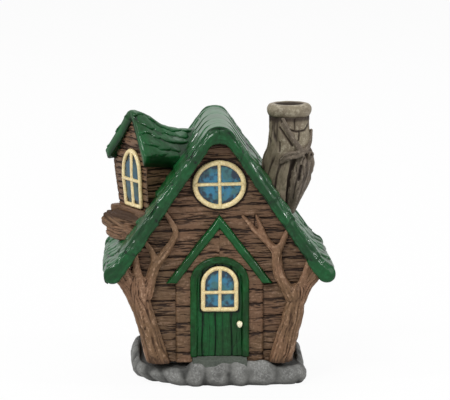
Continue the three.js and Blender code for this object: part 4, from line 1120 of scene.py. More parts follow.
def makeShingleTree():
    tree, given = newTree("shinglesOnGuides", (
        ("Shingle", "Object", None), ("Turn", "Float", 0.09), ("Size Spread", "Float", 0.12),
        ("Lift", "Float", 0.0002), ("Seed", "Int", 5), ("Material", "Material", None)))

    def named(label):
        node = addNode(tree, "GeometryNodeInputNamedAttribute", {"Name": label}, data_type="FLOAT_VECTOR")
        return node.outputs["Attribute"]

    def spread(amount, shift):
        # a random number from -amount to amount
        node = addNode(tree, "FunctionNodeRandomValue", data_type="FLOAT")
        ends = {s.name: s for s in node.inputs if s.enabled}
        tree.links.new(addMath(tree, "MULTIPLY", amount, -1.0), ends["Min"])
        tree.links.new(amount, ends["Max"])
        tree.links.new(addMath(tree, "ADD", given["Seed"], shift), ends["Seed"])
        return next(s for s in node.outputs if s.type == "VALUE" and s.enabled)

    def scaled(vector, share):
        node = addNode(tree, "ShaderNodeVectorMath", {0: vector, "Scale": share}, operation="SCALE")
        return node.outputs[0]

    axes = addNode(tree, "FunctionNodeAxesToRotation", {
        "Primary Axis": named("guideNormal"), "Secondary Axis": named("guideUp")},
        primary_axis="Z", secondary_axis="Y")
    turn = addNode(tree, "FunctionNodeAxisAngleToRotation", {
        "Axis": (0, 0, 1), "Angle": spread(given["Turn"], 0.0)})
    turned = addNode(tree, "FunctionNodeRotateRotation", {
        "Rotation": axes.outputs["Rotation"], "Rotate By": turn.outputs["Rotation"]}, rotation_space="LOCAL")
    source = addNode(tree, "GeometryNodeObjectInfo", {"Object": given["Shingle"]}, transform_space="ORIGINAL")
    size = scaled(named("guideSize"), addMath(tree, "ADD", spread(given["Size Spread"], 11.0), 1.0))
    lift = scaled(named("guideNormal"), spread(given["Lift"], 23.0))
    move = addNode(tree, "GeometryNodeSetPosition", {"Geometry": given["Geometry"], "Offset": lift})
    lay = addNode(tree, "GeometryNodeInstanceOnPoints", {
        "Points": move.outputs["Geometry"], "Instance": source.outputs["Geometry"],
        "Rotation": turned.outputs["Rotation"], "Scale": size})
    return endTree(tree, lay.outputs["Instances"], given["Material"])


def runTree(mesh, tree, values):
    # the tree's result on a mesh, as a plain mesh
    holder = linkedObject("holder", mesh)
    modifier = holder.modifiers.new("nodes", "NODES")
    modifier.node_group = tree
    for item in tree.interface.items_tree:
        if item.in_out == "INPUT" and item.name in values:
            modifier[item.identifier] = values[item.name]
    return evaluatedMesh(holder)


mouldingTree, shingleTree = makeMouldingTree(), makeShingleTree()


def pathMesh(lines):
    # wires through rows of points, each closed or open
    points, edges = [], []
    for line, closed in lines:
        start, last = len(points), len(points) + len(line) - 1
        points += [tuple(p) for p in line * mm]
        edges += [(i, i + 1) for i in range(start, last)] + [(last, start)] * closed
    mesh = bpy.data.meshes.new("path")
    mesh.from_pydata(points, edges, [])
    return mesh


def joinMeshes(name, meshes):
    points, faces, marks = [], [], []
    start = 0
    for mesh in meshes:
        points.append(meshPoints(mesh))
        marks.append(readRows(mesh.attributes["relief"].data, "value", 1)[:, 0])
        faces += [[i + start for i in polygon.vertices] for polygon in mesh.polygons]
        start += len(points[-1])
    return toMesh(name, np.concatenate(points), faces, np.concatenate(marks))


# windows: a rounded cream frame with a cross of bars, over a pane of blue glaze
windows = {
    "frame": 2.7,
    "depth": 2.3,
    "bar": 3.2,
    "barDepth": 1.9,
    "sides": 16,
    "wobble": 0.36,
    "wobbleScale": 190.0,
    "lineOut": 0.7,
    "washAndShadeReach": 1.1,
    "domed": 0.5,
}


def paneShell(outline, place, seed):
    # a cushion of glaze inside the frame, fuller in the middle
    middle = outline.mean(0)
    shares = np.linspace(0.02, 1, 22)[:, None]
    x, z = np.moveaxis(middle + (outline - middle) * shares[..., None], -1, 0)
    out = windows["domed"] * (1 - shares**4) + 0.16 * layeredNoise(asPoints(x, z, 0.0), 3.2, seed)
    rings = np.concatenate([place(x, z, out + 0.5), place(x, z, -0.3 + 0 * out)[::-1]])
    bare = 1 - smoothStep(0.66, 0.96, shares) + 0 * out
    return closedRings(rings, np.concatenate([bare, 0 * bare]))


def makeWindow(name, node, outlineAt, place, bars, glass, seed, frameShare=1.0):
    # place(x, z, out) gives a point at a distance out of the wall's face
    frame = windows["frame"] * frameShare
    outline = outlineAt(frame / 2)
    share = np.linspace(0, 1, 26)
    lines = [(place(x0 + (x1 - x0) * share, z0 + (z1 - z0) * share, windows["lineOut"]), False)
             for x0, z0, x1, z1 in bars]
    surface = place(0.0, 0.0, 0.0)
    inward = surface - place(0.0, 0.0, 1.0)
    made = []
    ring = [(place(*outline.T, windows["lineOut"] + 0.05), True)]
    # the tree lays a profile's width across the wall and its height out of it
    for paths, width, height in ((ring, frame, windows["depth"]),
                                 (lines, windows["bar"], windows["barDepth"])):
        mesh = runTree(pathMesh(paths), mouldingTree, {
            "Width": width * mm, "Height": height * mm, "Sides": windows["sides"],
            "Wobble": windows["wobble"] * mm, "Wobble Scale": windows["wobbleScale"],
            "Seed": float(seed + len(made)), "Material": cream})
        # wash and painted shade darken each moulding where it meets the wall
        setMarks(mesh, np.clip((surface - meshPoints(mesh)) @ inward / windows["washAndShadeReach"], 0, 1))
        made.append(mesh)
    solidObject(name + "_frame", joinMeshes(name + "_frame", made), "house", node + "_frame", cream)
    pane = paneShell(outlineAt(frame * 0.7), place, seed + 3)
    solidShells(name + "_pane", [pane], "house", node + "_pane", glass)


def makeDoorWindow():
    half, sill, top, archRise = doorWindow["outline"]
    face = frontFace - door["leafDepth"]
    cross = sill + 0.42 * (top - sill)
    bars = [(0.0, sill + 0.8, 0.3, top - 0.8), (-half + 1, cross, half - 1, cross + 0.2)]
    makeWindow("arched_door_window", "door_window", lambda inset: archLine(half, sill, top, archRise, inset),
               lambda x, z, out: asPoints(x, face - out, z), bars, blue, 101)


def makeGableWindow():
    rx, rz = gableWindow["halfWidth"], gableWindow["halfHeight"]
    bars = [(0.4, 0.9 - rz, -0.2, rz - 0.9), (1.1 - rx, 0.0, rx - 1.1, 0.5)]
    makeWindow("round_gable_window", "gable_window", lambda inset: ellipseLine(rx, rz, inset),
               lambda x, z, out: asPoints(x, frontFace - out, z + gableWindow["middle"]), bars, blue, 111)


dormer = {
    "x": -45.0,
    "y": 2.0,
    "turn": math.radians(-62),
    "left": 17.2,
    "right": 16.0,
    "flare": 0.17,
    "lean": 1.2,
    "leftLift": -0.4,
    "lip": 1.7,
    "sill": 86.5,
    "eave": 115.8,
    "ridge": 144.0,
    "ridgeFall": 12.6,
    "fallLength": 28.0,
    "length": 46.0,
    "spanLeft": 22.4,
    "spanRight": 19.4,
    "overhang": 1.2,
    "vergeLeft": 4.0,
    "vergeRight": 1.6,
    "thickness": 4.2,
    "ridgeRadius": 4.5,
    "window": (10.4, 32.2, 14.5),  # half width, height and rise of the arch
}


def dormerPlace(x, y, z):
    # from the dormer's own frame, with its face towards -y, to the house's
    c, s = math.cos(dormer["turn"]), math.sin(dormer["turn"])
    return asPoints(x * c - y * s + dormer["x"], x * s + y * c + dormer["y"], z)


def dormerLean(z):
    # how far the dormer's face stands forward at each height
    return dormer["lean"] * smoothStep(0, 26, z - dormer["sill"])


def makeDormerWindow():
    half, height, archRise = dormer["window"]
    foot, cross = dormer["sill"] + 4.0, 0.47 * height

    def outlineAt(inset):
        line = archLine(half, 0, height, archRise, inset)
        share = np.clip(2 * line[:, 1] / height, 0, 1)
        line[:, 0] = line[:, 0] * (0.9 + 0.1 * share) + 0.4 * (1 - share) + 0.5
        return line

    bars = [(0.7, 1.0, 0.5, height - 1.0), (-half + 1.9, cross, half - 0.9, cross)]
    makeWindow("arched_dormer_window", "dormer_window", outlineAt,
               lambda x, z, out: dormerPlace(x, -out - dormerLean(z + foot), z + foot), bars, dusk, 121, 0.8)


makeDoorWindow()
makeGableWindow()
makeDormerWindow()
print("windows made")


# the roof's slopes: a slab with a thick rounded eave, and courses of shingles over it
roof = {
    "slabSink": 0.5,
    "slabEnd": 42.5,
    "courses": 10,
    "shingleWidth": 8.6,
    "shingleLength": 13.5,
    "shingleThick": 1.25,
    "tilt": 0.1,
    "turn": 0.09,
    "sizeSpread": 0.08,
    "lift": 0.0001,
    "jitter": 0.5,
    "ragged": 0.85,
    "capReach": 18.0,
    "capStarts": (-42.1, -27.0, -6.0, 14.0, 33.0),
    "capEnd": 42.3,
    "lastJoint": 43.0,
    "capRise": 0.6,
    "capUnder": -1.6,
    "faceSteps": 150,
}


def eaveNose(steps=16):
    # the rounded end of the right eave, from the top face to the soffit, as rows of x and z
    top = np.array([house["eaveSpan"], float(roofTop(house["eaveSpan"]))])
    low = np.array([house["eaveDrop"], float(soffit(house["eaveDrop"]))])
    half = np.linalg.norm(top - low) / 2
    along = (top - low) / 2 / half
    turn = (np.pi * np.arange(1, steps) / steps)[:, None]
    out = np.array([along[1], -along[0]]) * house["eaveBulge"]
    return (top + low) / 2 + along * half * np.cos(turn) + out * np.sin(turn)


def slopePath():
    # from the ridge down the outer face and round the eave, as rows of x and z
    x = np.linspace(0, house["eaveSpan"], roof["faceSteps"])
    return np.concatenate([asPoints(x, roofTop(x)), eaveNose()])


def alongPath(path, run):
    # points and directions at lengths along a path
    length = runLengths(path)

    def at(run):
        return asPoints(np.interp(run, length, path[:, 0]), np.interp(run, length, path[:, 1]))

    along = at(run + 0.4) - at(run - 0.4)
    return at(run), along / np.maximum(np.linalg.norm(along, axis=-1), 1e-6)[..., None]


def makeSlab(side):
    nose = eaveNose(17)
    half = len(nose) // 2
    x = np.linspace(0.15, house["eaveSpan"], 70)
    top = np.concatenate([asPoints(x, roofTop(x) - roof["slabSink"] / pitchCos), nose[:half]])
    x = np.linspace(0.15, house["eaveDrop"], 70)
    under = np.concatenate([asPoints(x, soffit(x)), nose[:half - 1:-1]])
    stations = np.linspace(-roof["slabEnd"], roof["slabEnd"], 60)[:, None]
    front, back = (asPoints(side * path[:, 0], stations, path[:, 1]) for path in (top, under))
    front[:, 1:, 2] += 0.25 * layeredNoise(front[:, 1:], 8.0, 131)
    # painted shade: the whole slab is darkened, as most of what shows of it lies between and under the
    # shingles
    return closedSheet(front, back, np.full(front.shape[:2], 0.3), 0.25)


def makeShingle():
    # one shingle: its butt at y = 0, up the roof along y, a unit wide and a unit long
    x = np.linspace(-0.5, 0.5, 9)[None, :]
    v = np.linspace(0, 1, 7)[:, None] ** 1.25
    butt = 0.16 * np.abs(2 * x) ** 3 + 0.05 * x
    y = butt + (1 - butt) * v
    crown = 1 - 0.5 * np.abs(2 * x) ** 5
    top = asPoints(x, y, crown * (1 - 0.1 * v) * np.where(v < 0.01, 0.55, 1))
    back = asPoints(x, y, -0.5)
    back[0, :, 1] += 0.03
    # painted shade where the next course covers it, and a dark wash down its edges
    marks = (1 - 0.9 * smoothStep(0.5, 0.8, y)) * (1 - 0.8 * np.abs(2 * x) ** 7)
    shell = closedSheet(top / mm, back / mm, marks, 0.05)
    return bpy.data.objects.new("shinglePattern", toMesh("shinglePattern", *joinShells([shell])))


shingle = makeShingle()


def layShingles(guides, seed, raggedness, surfaceAt):
    # guides are rows of q, p, up, width, length and thickness on a flat sheet: each shingle's butt lies at
    # its place, and up is 1 or -1 for the way along q that it climbs
    up, tilt = guides[:, 2], roof["tilt"]
    sheet = bpy.data.meshes.new("guides")
    sheet.from_pydata((asPoints(guides[:, 0], guides[:, 1], -0.1) * mm).tolist(), [], [])
    setVectors(sheet, "guideNormal", asPoints(up * math.sin(tilt), 0, math.cos(tilt)))
    setVectors(sheet, "guideUp", asPoints(up * math.cos(tilt), 0, -math.sin(tilt)))
    setVectors(sheet, "guideSize", guides[:, 3:] * mm)
    mesh = runTree(sheet, shingleTree, {
        "Shingle": shingle, "Turn": roof["turn"], "Size Spread": roof["sizeSpread"], "Lift": roof["lift"],
        "Seed": seed, "Material": green})
    # each is pressed by hand, so no two are alike, and follows the roof under it
    points = meshPoints(mesh)
    push = np.stack([layeredNoise(points, 4.5, seed + 40 + axis, 2) for axis in range(3)], axis=-1)
    points = points + push * np.array([raggedness, raggedness, 0.75 * raggedness])
    setPoints(mesh, surfaceAt(*points.T))
    return mesh


def bentSheet(grid, p, q):
    # a grid of points with a coordinate for its rows and its columns; gives places at heights over it
    normals = unit(np.cross(np.gradient(grid, axis=1), np.gradient(grid, axis=0)))

    def at(across, along, height):
        i, j = np.interp(along, p, np.arange(len(p))), np.interp(across, q, np.arange(len(q)))
        row, column = np.minimum(i.astype(int), len(p) - 2), np.minimum(j.astype(int), len(q) - 2)
        fi, fj = (i - row)[:, None], (j - column)[:, None]
        found = []
        for table in (grid, normals):
            low = table[row, column] * (1 - fj) + table[row, column + 1] * fj
            high = table[row + 1, column] * (1 - fj) + table[row + 1, column + 1] * fj
            found.append(low * (1 - fi) + high * fi)
        return found[0] + found[1] * height[:, None]

    return at


def slopeGuides(seed):
    # the courses end at the lengths down the slope at which the solid roof's do
    path = slopePath()
    length, steps = runLengths(path), roof["faceSteps"]
    start = house["ridgeRadius"] * math.sin(house["pitch"])
    butts = start + (house["eaveSpan"] - start) * np.arange(1, roof["courses"] + 1) / roof["courses"]
    runs = np.interp(butts, path[:steps, 0], length[:steps])
    rng = np.random.default_rng(seed)
    width, jitter = roof["shingleWidth"], roof["jitter"]
    guides = []
    for course, run in enumerate([*runs[2:], length[-1] - 4.5]):
        for k in range(int(2 * roof["slabEnd"] / width) + 1):
            y = -roof["slabEnd"] + 2.0 + (k + 0.5 * (course % 2)) * width + rng.normal(0, jitter)
            if abs(y) < roof["slabEnd"] - 3.0:
                guides.append((run + rng.normal(0, jitter), y, -1, width * 1.14 * rng.uniform(0.88, 1.12),
                               roof["shingleLength"], roof["shingleThick"] * rng.uniform(0.7, 1.35)))
    return np.array(guides)


def slopeSurface(side):
    path = slopePath()
    run = np.linspace(0, runLengths(path)[-1], 260)
    flat = alongPath(path, run)[0]
    p = np.linspace(-50, 50, 3)
    sheet = bentSheet(asPoints(side * flat[:, 0], p[:, None], flat[:, 1]), p, run)
    # on the left the sheet is a mirror image, and its heights are turned round
    return lambda across, along, height: sheet(across, along, side * height)


chimney = {
    "x": 39.7,
    "y": 5.0,
    "top": 146.8,
    "stackRadius": 11.0,
    "collarHeight": 7.6,
    "collarRadius": 12.3,
    "flueRadius": 6.5,
    "mouthRadius": 8.0,
    # the cut through the roof's slab: its lower and upper end, and how far right of the middle it goes
    "cut": (40.0, 120.0),
    "cutRight": 1.6,
}


def cutFlue(mesh):
    # the flue's way through the slab, from the chamber inside the house
    turn, radius = fullTurn(40), chimney["flueRadius"]
    x = np.minimum(chimney["x"] + radius * np.cos(turn), chimney["x"] + chimney["cutRight"])
    rings = asPoints(x, chimney["y"] + radius * np.sin(turn), np.array(chimney["cut"])[:, None])
    cutter = linkedObject("cutter", toMesh("cutter", *joinShells([closedRings(rings)])[:2]))
    slab = linkedObject("slab", mesh)
    cut = slab.modifiers.new("flue", "BOOLEAN")
    cut.operation, cut.solver, cut.object = "DIFFERENCE", "EXACT", cutter
    made = evaluatedMesh(slab)
    bpy.data.objects.remove(cutter)
    return made


def makeSlope(side, name, node, seed):
    slab = toMesh("slab", *joinShells([makeSlab(side)]))
    guides, surfaceAt = slopeGuides(seed), slopeSurface(side)
    if side > 0:
        slab = cutFlue(slab)
        places = surfaceAt(guides[:, 0], guides[:, 1], 0 * guides[:, 0])
        gap = np.hypot(places[:, 0] - chimney["x"] + 4, places[:, 1] - chimney["y"])
        guides = guides[gap > chimney["flueRadius"] + 1.5]
    shingles = layShingles(guides, seed, roof["ragged"], surfaceAt)
    if side < 0:
        shingles.flip_normals()
    solidObject(name, joinMeshes(name, [slab, shingles]), "house", node, green)


def makeRidgeCaps():
    # long saddle-shaped caps, each lifted at its front edge over the one before it
    starts, reach = roof["capStarts"], roof["capReach"]
    across = np.linspace(-reach, reach, 96)[None, :]
    along = np.linspace(-roof["capEnd"], roof["capEnd"], 260)[:, None]
    path = slopePath()
    face = path[:roof["faceSteps"]]
    flat, direction = alongPath(path, np.interp(np.abs(across[0]), face[:, 0], runLengths(face)))
    side = np.sign(across[0])
    off = smoothStep(3.5, 9.0, np.abs(across)) * np.where(across > 0, 0.55, 1.0)
    lift = np.zeros((along.shape[0], across.shape[1]))
    shade = np.ones_like(lift)
    for number, (joint, following) in enumerate(zip(starts, (*starts[1:], roof["lastJoint"]))):
        bend = 1.6 * np.sin(0.16 * across + 2.1 * number) + 0.5 * np.sin(0.7 * across + number)
        start = joint + bend * (number > 0)
        share = np.clip((along - start) / (following - joint), 0, 1)
        after = smoothStep(0, 0.7, along - start)
        rise = roof["capRise"] * (1 - share) ** 0.8
        inside = (along >= start) | (number == 0)
        lift = np.where(inside, 0.1 + rise * (off * after + (1 - off) * 0.15), lift)
        if number:
            groove = bump((along - start + 0.5) / 0.75) * off
            lift = lift - 0.5 * groove
            shade = np.minimum(shade, 1 - 0.95 * groove)
    sample = asPoints(across, along, 2.0)
    fold = creases(sample, (30.0, 5.5, 5.0), 143, 0.8) * off
    lift = lift + 0.1 * layeredNoise(sample, (12.0, 7.0, 5.0), 141) - 0.1 * fold
    # the lower edges are cut off in soft scallops
    edge = reach - 0.8 - 1.1 * np.abs(np.sin(along * 0.33)) - np.abs(across)
    lift = np.where(edge < 0, np.minimum(lift, -0.9), lift * smoothStep(-0.2, 0.7, edge))
    out = asPoints(-direction[:, 1] * side, direction[:, 0])
    base = asPoints(flat[:, 0] * side, flat[:, 1])
    front, back = (asPoints(base[:, 0] + out[:, 0] * height, along, base[:, 1] + out[:, 1] * height)
                   for height in (lift, np.full_like(lift, roof["capUnder"])))
    # painted shade darkens the caps in their grooves and under their scalloped lower edges
    sheet = closedSheet(front, back, shade * (1 - 0.5 * fold) * smoothStep(-0.4, 0.5, edge))
    solidShells("ridge_caps", [sheet], "house", None, green)


# the bargeboards: thick glazed lobes that lap one over the next, down to a fat rounded end
boards = {
    "rightLaps": (17.0, 47.0, 61.0, 85.0),
    "leftLaps": (20.0, 34.0, 56.0, 80.0),
    "lapsEnd": 112.0,
    "lapRise": 1.1,
    "halfDepth": 2.1,
    "lump": 0.35,
    "upperLump": 1.3,
    "dimple": 0.26,
    "chamfer": 1.3,
    "grain": 0.2,
}


def lapRise(run, laps):
    # 0 at the start of each lobe, growing to 1 at its end, with a quick step down
    rise = np.zeros_like(run)
    for first, last in zip((0.0, *laps), (*laps, boards["lapsEnd"])):
        share = np.clip((run - first) / (last - first), 0, 1) ** 1.3
        fall = 1 - smoothStep(last - 1.0, last, run) if last < boards["lapsEnd"] else 1
        rise = np.where((run >= first) & (run < last), share * fall, rise)
    return rise


def makeBoard(name, node, facing, seed):
    share = np.linspace(0, 1, 170)
    xOut, xIn = share * house["eaveSpan"], share * house["eaveDrop"]
    proud = 0.4 + 0.9 * smoothStep(0.12, 0.5, share) * (1 - smoothStep(0.82, 0.98, share))
    upper, lower = asPoints(xOut, roofTop(xOut) + proud / pitchCos), asPoints(xIn, soffit(xIn))
    middle, reach = (upper + lower) / 2, (upper - lower) / 2
    # the rounded end goes on from the last section, smaller and smaller
    nose = np.radians(np.arange(8, 90, 8))
    ahead = unit(np.array([reach[-1, 1], -reach[-1, 0]]))
    middle = np.concatenate([middle, middle[-1] + ahead * (house["eaveBulge"] * np.sin(nose))[:, None]])
    reach = np.concatenate([reach, reach[-1] * np.cos(nose)[:, None]])
    thin = np.append(np.ones(len(share)), np.sqrt(np.cos(nose)))[:, None]
    run = runLengths(middle)[:, None]
    turn = fullTurn(48)
    up, out = softCos(turn, 0.7), softSin(turn, 0.5)
    high, face = smoothStep(-0.1, 0.7, up), np.clip(out, 0, 1)
    shells = []
    for side, laps in ((-1, boards["leftLaps"]), (1, boards["rightLaps"])):
        if facing > 0:
            laps = tuple(lap + 4 for lap in laps)
        # each lap runs aslant and winds a little
        slant = 2.6 * up * np.sin(0.31 * run + seed) + 0.9 * np.sin(3.1 * up + 0.2 * run)
        rise = lapRise(run + slant * smoothStep(8, 20, run), laps)
        wave = layeredNoise(asPoints(run * side + 0 * up, 0, 0), 5.0, seed + 9)
        swell = 1 + 0.16 * rise * np.clip(up, -0.9, 1) + 0.16 * wave * np.clip(-up, 0, 1)
        sample = asPoints(run * side, 3.2 * up, out * 2)
        blobs = high * layeredNoise(sample, (9.5, 1.3, 2.0), seed + 2, 2)
        lump = boards["lump"] * layeredNoise(sample, (7.0, 3.4, 3.0), seed) + boards["upperLump"] * blobs
        lump = lump + boards["dimple"] * layeredNoise(sample, (4.6, 1.2, 2.0), seed + 4)
        ridgeLine = 0.05 + 0.12 * np.sin(run * 0.09 + side)
        chamfer = boards["chamfer"] * smoothStep(0.0, 1.0, up - ridgeLine)
        chamfer = chamfer - 0.35 * np.exp(-(((up - ridgeLine) / 0.14) ** 2))
        grain = boards["grain"] * creases(sample, (15.0, 1.1, 2.0), seed + 6, 0.72)
        depth = boards["halfDepth"] * thin * out
        depth = depth + face * (boards["lapRise"] * rise * thin + lump - grain - chamfer)
        rings = asPoints(side * (middle[:, :1] + reach[:, :1] * up * swell),
                         facing * (house["roofHalfDepth"] - boards["halfDepth"] + depth),
                         middle[:, 1:] + reach[:, 1:] * up * swell + 0.8 * lump * np.clip(up, 0, 1))
        # painted shade below each lap's step and over the upper band; darker too in the pits between the
        # lumps and along the grain
        dark = np.clip(-1.6 * np.gradient(rise, run[:, 0], axis=0), 0, 1) * face
        pits = 0.5 * smoothStep(-0.15, -0.6, blobs) * face
        marks = np.clip(1 - 0.5 * grain / boards["grain"] - 0.5 * dark - pits - 0.15 * high * face, 0, 1)
        rings[0, :, 0] = 0
        shells.append(closedRings(rings, marks))
    solidShells(name, shells, "house", node, boardGreen)


makeSlope(-1, "shingled_left_slope", "left_roof_slope", 151)
makeSlope(1, "shingled_right_slope", "right_roof_slope", 157)
makeRidgeCaps()
makeBoard("lobed_front_bargeboard", "front_bargeboard", -1, 161)
makeBoard("lobed_rear_bargeboard", "rear_bargeboard", 1, 167)
print("roof made")


# the dormer on the left slope
def dormerHalf(along, span, drop=0.0, steps=8):
    # half of a section across the dormer's roof: rows of x and z, outer then inner
    run = min(1.0, max(0.0, along) / dormer["fallLength"])
    ridge = dormer["ridge"] - dormer["ridgeFall"] * math.sin(math.pi / 2 * run) ** 1.4
    lean = math.atan2(ridge - dormer["eave"] + 3 * along / dormer["length"], span)
    rise, flat = math.tan(lean), math.cos(lean)
    turn = lean * np.arange(steps + 1) / steps

    def arc(radius, apex):
        return asPoints(radius * np.sin(turn), apex - radius / flat + radius * np.cos(turn))

    radius, thickness = dormer["ridgeRadius"], dormer["thickness"]
    apex = ridge + radius * (1 / flat - 1)
    top = arc(radius, apex)
    tip = np.array([span, apex - span * rise + 1.2])
    straight = top[-1] + (tip - top[-1]) * np.linspace(0, 1, 14)[1:, None]
    soffitTop = apex - (thickness + drop) / flat
    under = arc(0.5 * radius, soffitTop)
    low = span - 0.5 * thickness
    inner = np.array([low, soffitTop - low * rise])
    rising = inner + (under[-1] - inner) * np.linspace(0, 1, 10)[:-1, None]
    return np.concatenate([top, straight]), np.concatenate([rising, under[::-1]])


def dormerSection(along):
    # both halves of the section, the right one and the left one, which is as if mirrored
    return dormerHalf(along, dormer["spanRight"]), dormerHalf(along, dormer["spanLeft"], dormer["leftLift"])


def dormerSoffit(x, along=0.0):
    # height of the roof's underside over x, in the dormer's own frame
    (_, right), (_, left) = dormerSection(along)
    right, left = right[::-1], left[::-1]
    return np.where(x < 0, np.interp(-x, left[:, 0], left[:, 1]), np.interp(x, right[:, 0], right[:, 1]))


def vergeShift(x, share):
    left, right = dormer["vergeLeft"] / dormer["spanLeft"], dormer["vergeRight"] / dormer["spanRight"]
    return -np.where(x < 0, -x * left, x * right) * (1 - share) ** 3


dormerShingle = {
    "course": 5.0,
    "apart": 7.4,
    "width": 9.2,
    "length": 9.0,
    "thick": (0.5, 0.85),  # on the left and the right side
    "jitter": 0.5,
}


def dormerShingles(sheet, ridgeColumn):
    # shingles over both sides, from the eaves up over the ridge
    q = runLengths(sheet[len(sheet) // 2])
    p = np.linspace(0, dormer["length"] + dormer["overhang"], len(sheet))
    surfaceAt = bentSheet(sheet, p, q)
    rng = np.random.default_rng(177)
    spec, guides = dormerShingle, []
    for up, eave, thick in zip((1, -1), (0.0, q[-1]), spec["thick"]):
        for course, run in enumerate(np.arange(0.4, abs(q[ridgeColumn] - eave) - 3.0, spec["course"])):
            along = 3.2 + 3.4 * (course % 2)
            while along < p[-1] - 3:
                butt = eave + up * (run + rng.normal(0, spec["jitter"]))
                guides.append((butt, along, up, spec["width"] * rng.uniform(0.85, 1.3),
                               spec["length"] * rng.uniform(0.9, 1.1), thick))
                along += spec["apart"] * rng.uniform(0.85, 1.15)
    guides = np.array(guides)
    places = surfaceAt(guides[:, 0], guides[:, 1], 0 * guides[:, 0])
    return layShingles(guides[places[:, 2] > roofTop(places[:, 0]) - 1.0], 181, 1.0, surfaceAt)


def makeDormerRoof():
    sections = 60
    tops, unders = [], []
    flip = np.array([-1, 1])
    for k in range(-1, sections + 1):
        # the first section is a smaller one, a little in front, which rounds the edge
        front, station = k < 0, max(k, 0)
        share = station / sections
        along = -dormer["overhang"] + share * (dormer["length"] + dormer["overhang"])
        (rightOut, rightIn), (leftOut, leftIn) = dormerSection(along)
        top = np.concatenate([(leftOut * flip)[::-1][:-1], rightOut])
        under = np.concatenate([leftIn * flip, rightIn[::-1][1:]])
        at, step = np.linspace(0, 1, len(top)), np.linspace(0, 1, len(under))
        under = asPoints(np.interp(at, step, under[:, 0]), np.interp(at, step, under[:, 1]))
        # the left half ends in a lip that turns down over the wall
        lip = dormer["lip"] * math.exp(-((station / 1.8) ** 2))
        lip = lip * np.clip(-top[:, 0] / 6, 0, 1) * (1 - 0.8 * smoothStep(13, 22, -top[:, 0]))
        under = under + unit(under - top) * lip[:, None]
        middle = (top + under) / 2
        for rows, edge in ((tops, top), (unders, under)):
            line = middle + (edge - middle) * (0.82 if front else 1.0)
            y = along + vergeShift(line[:, 0], share) - (0.9 if front else 0)
            rows.append(asPoints(line[:, 0], y, line[:, 1]))
    tops, unders = np.array(tops), np.array(unders)
    tops[..., 2] += 0.35 * layeredNoise(tops, 6.5, 171)
    sheets = [keepOnRoof(dormerPlace(*grid.reshape(-1, 3).T)).reshape(grid.shape) for grid in (tops, unders)]
    # painted shade: behind its front edge the slab is darkened, as it shows only between and under the
    # shingles
    verge = np.where(np.arange(len(tops))[:, None] < 4, 1.0, 0.4 + 0 * tops[..., 0])
    slab = toMesh("slab", *joinShells([closedSheet(*sheets, verge, 0.3)]))
    mesh = joinMeshes("shingled_dormer_roof", [slab, dormerShingles(sheets[0], len(leftOut) - 1)])
    solidObject("shingled_dormer_roof", mesh, "house", "dormer_roof", green)


dormerPlanks = planks | {"plank": 3.6, "firstSeam": 2.5, "seamDepth": 0.9, "strokes": 0.1,
                         "strokeHalf": (1.2, 4.5), "joints": 0.0, "cheekLength": 36.0}


def makeDormerWalls():
    foot, reach = dormer["sill"] - 9.0, dormerPlanks["cheekLength"]
    x = np.linspace(0, 26, 400)

    def flareAt(z, sign):
        return dormer["flare"] * np.maximum(z - dormer["sill"], 0) * (sign < 0)

    def edge(sign, limit):
        heights = dormerSoffit(sign * x) + 1.2

        def at(z):
            return np.maximum(np.minimum(limit + flareAt(z, sign), np.interp(-z, -heights, x)), 0.6)

        return at

    left, right = edge(-1, dormer["left"]), edge(1, dormer["right"])
    origin = dormerPlace(0.0, 0.0, 0.0)
    inward, rightward = dormerPlace(0.0, 1.0, 0.0) - origin, dormerPlace(1.0, 0.0, 0.0) - origin
    shells = [plankWall(np.arange(foot, dormerSoffit(0.0) + 1.0, 0.28), lambda z: -left(z), right,
                        lambda u, v: dormerPlace(u, -dormerLean(v), v), inward, 4.0, 110, dormerPlanks, 191,
                        (4, 4))]
    for sign, limit, seed in ((1, dormer["right"], 197), (-1, dormer["left"], 199)):

        def place(u, v):
            # columns run from the back to the front on the left cheek, seen from outside
            y = sign * u
            return dormerPlace(sign * (limit + flareAt(v, sign)), y - dormerLean(v) * (1 - y / reach), v)

        low, high = (0, reach) if sign > 0 else (-reach, 0)
        mitres = (3, 0) if sign > 0 else (0, 3)
        shells.append(plankWall(np.arange(foot, dormer["eave"] + 6.0, 0.32), lambda z: 0 * z + low,
                                lambda z: 0 * z + high, place, -sign * rightward, 3.0, 100, dormerPlanks,
                                seed, mitres))
    points, faces, marks = joinShells([(keepOnRoof(points), *rest) for points, *rest in shells])
    # nothing of the walls shows above the dormer's roof
    c, s = math.cos(-dormer["turn"]), math.sin(-dormer["turn"])
    dx, dy = points[:, 0] - dormer["x"], points[:, 1] - dormer["y"]
    localX, localY = dx * c - dy * s, dx * s + dy * c
    step = 4.0
    table = np.array([dormerSoffit(localX, along) for along in np.arange(0, 47, step)])
    place = np.clip(localY / step, 0, len(table) - 1.001)
    low = place.astype(int)
    part, index = place - low, np.arange(len(points))
    limit = table[low, index] * (1 - part) + table[low + 1, index] * part
    points[:, 2] = np.minimum(points[:, 2], limit + 1.2)
    # painted shade: the walls are darker overall, and darker still just under the dormer's roof
    marks = marks * (0.45 + 0.4 * smoothStep(0, 4, limit - points[:, 2]))
    solidObject("carved_dormer_walls", toMesh("carved_dormer_walls", points, faces, marks), "house",
                "dormer_walls", timber)


makeDormerRoof()
bpy.data.objects.remove(shingle)
makeDormerWalls()
print("dormer made")


def nearestGap(places, line):
    # distance from rows of two numbers to a broken line
    best = np.full(len(places), np.inf)
    for a, b in zip(np.array(line[:-1]), np.array(line[1:])):
        span = b - a
        share = np.clip((places - a) @ span / (span @ span), 0, 1)
        best = np.minimum(best, np.linalg.norm(places - a - share[:, None] * span, axis=1))
    return best


def frontCuts(points, cuts):
    # depths of grooves drawn on the front as lines of [x, z], each with a half width and a depth
    depth = np.zeros(len(points))
    for line, half, deep in cuts:
        depth = np.maximum(depth, deep * bump(nearestGap(points[:, [0, 2]], line) / half))
    return depth


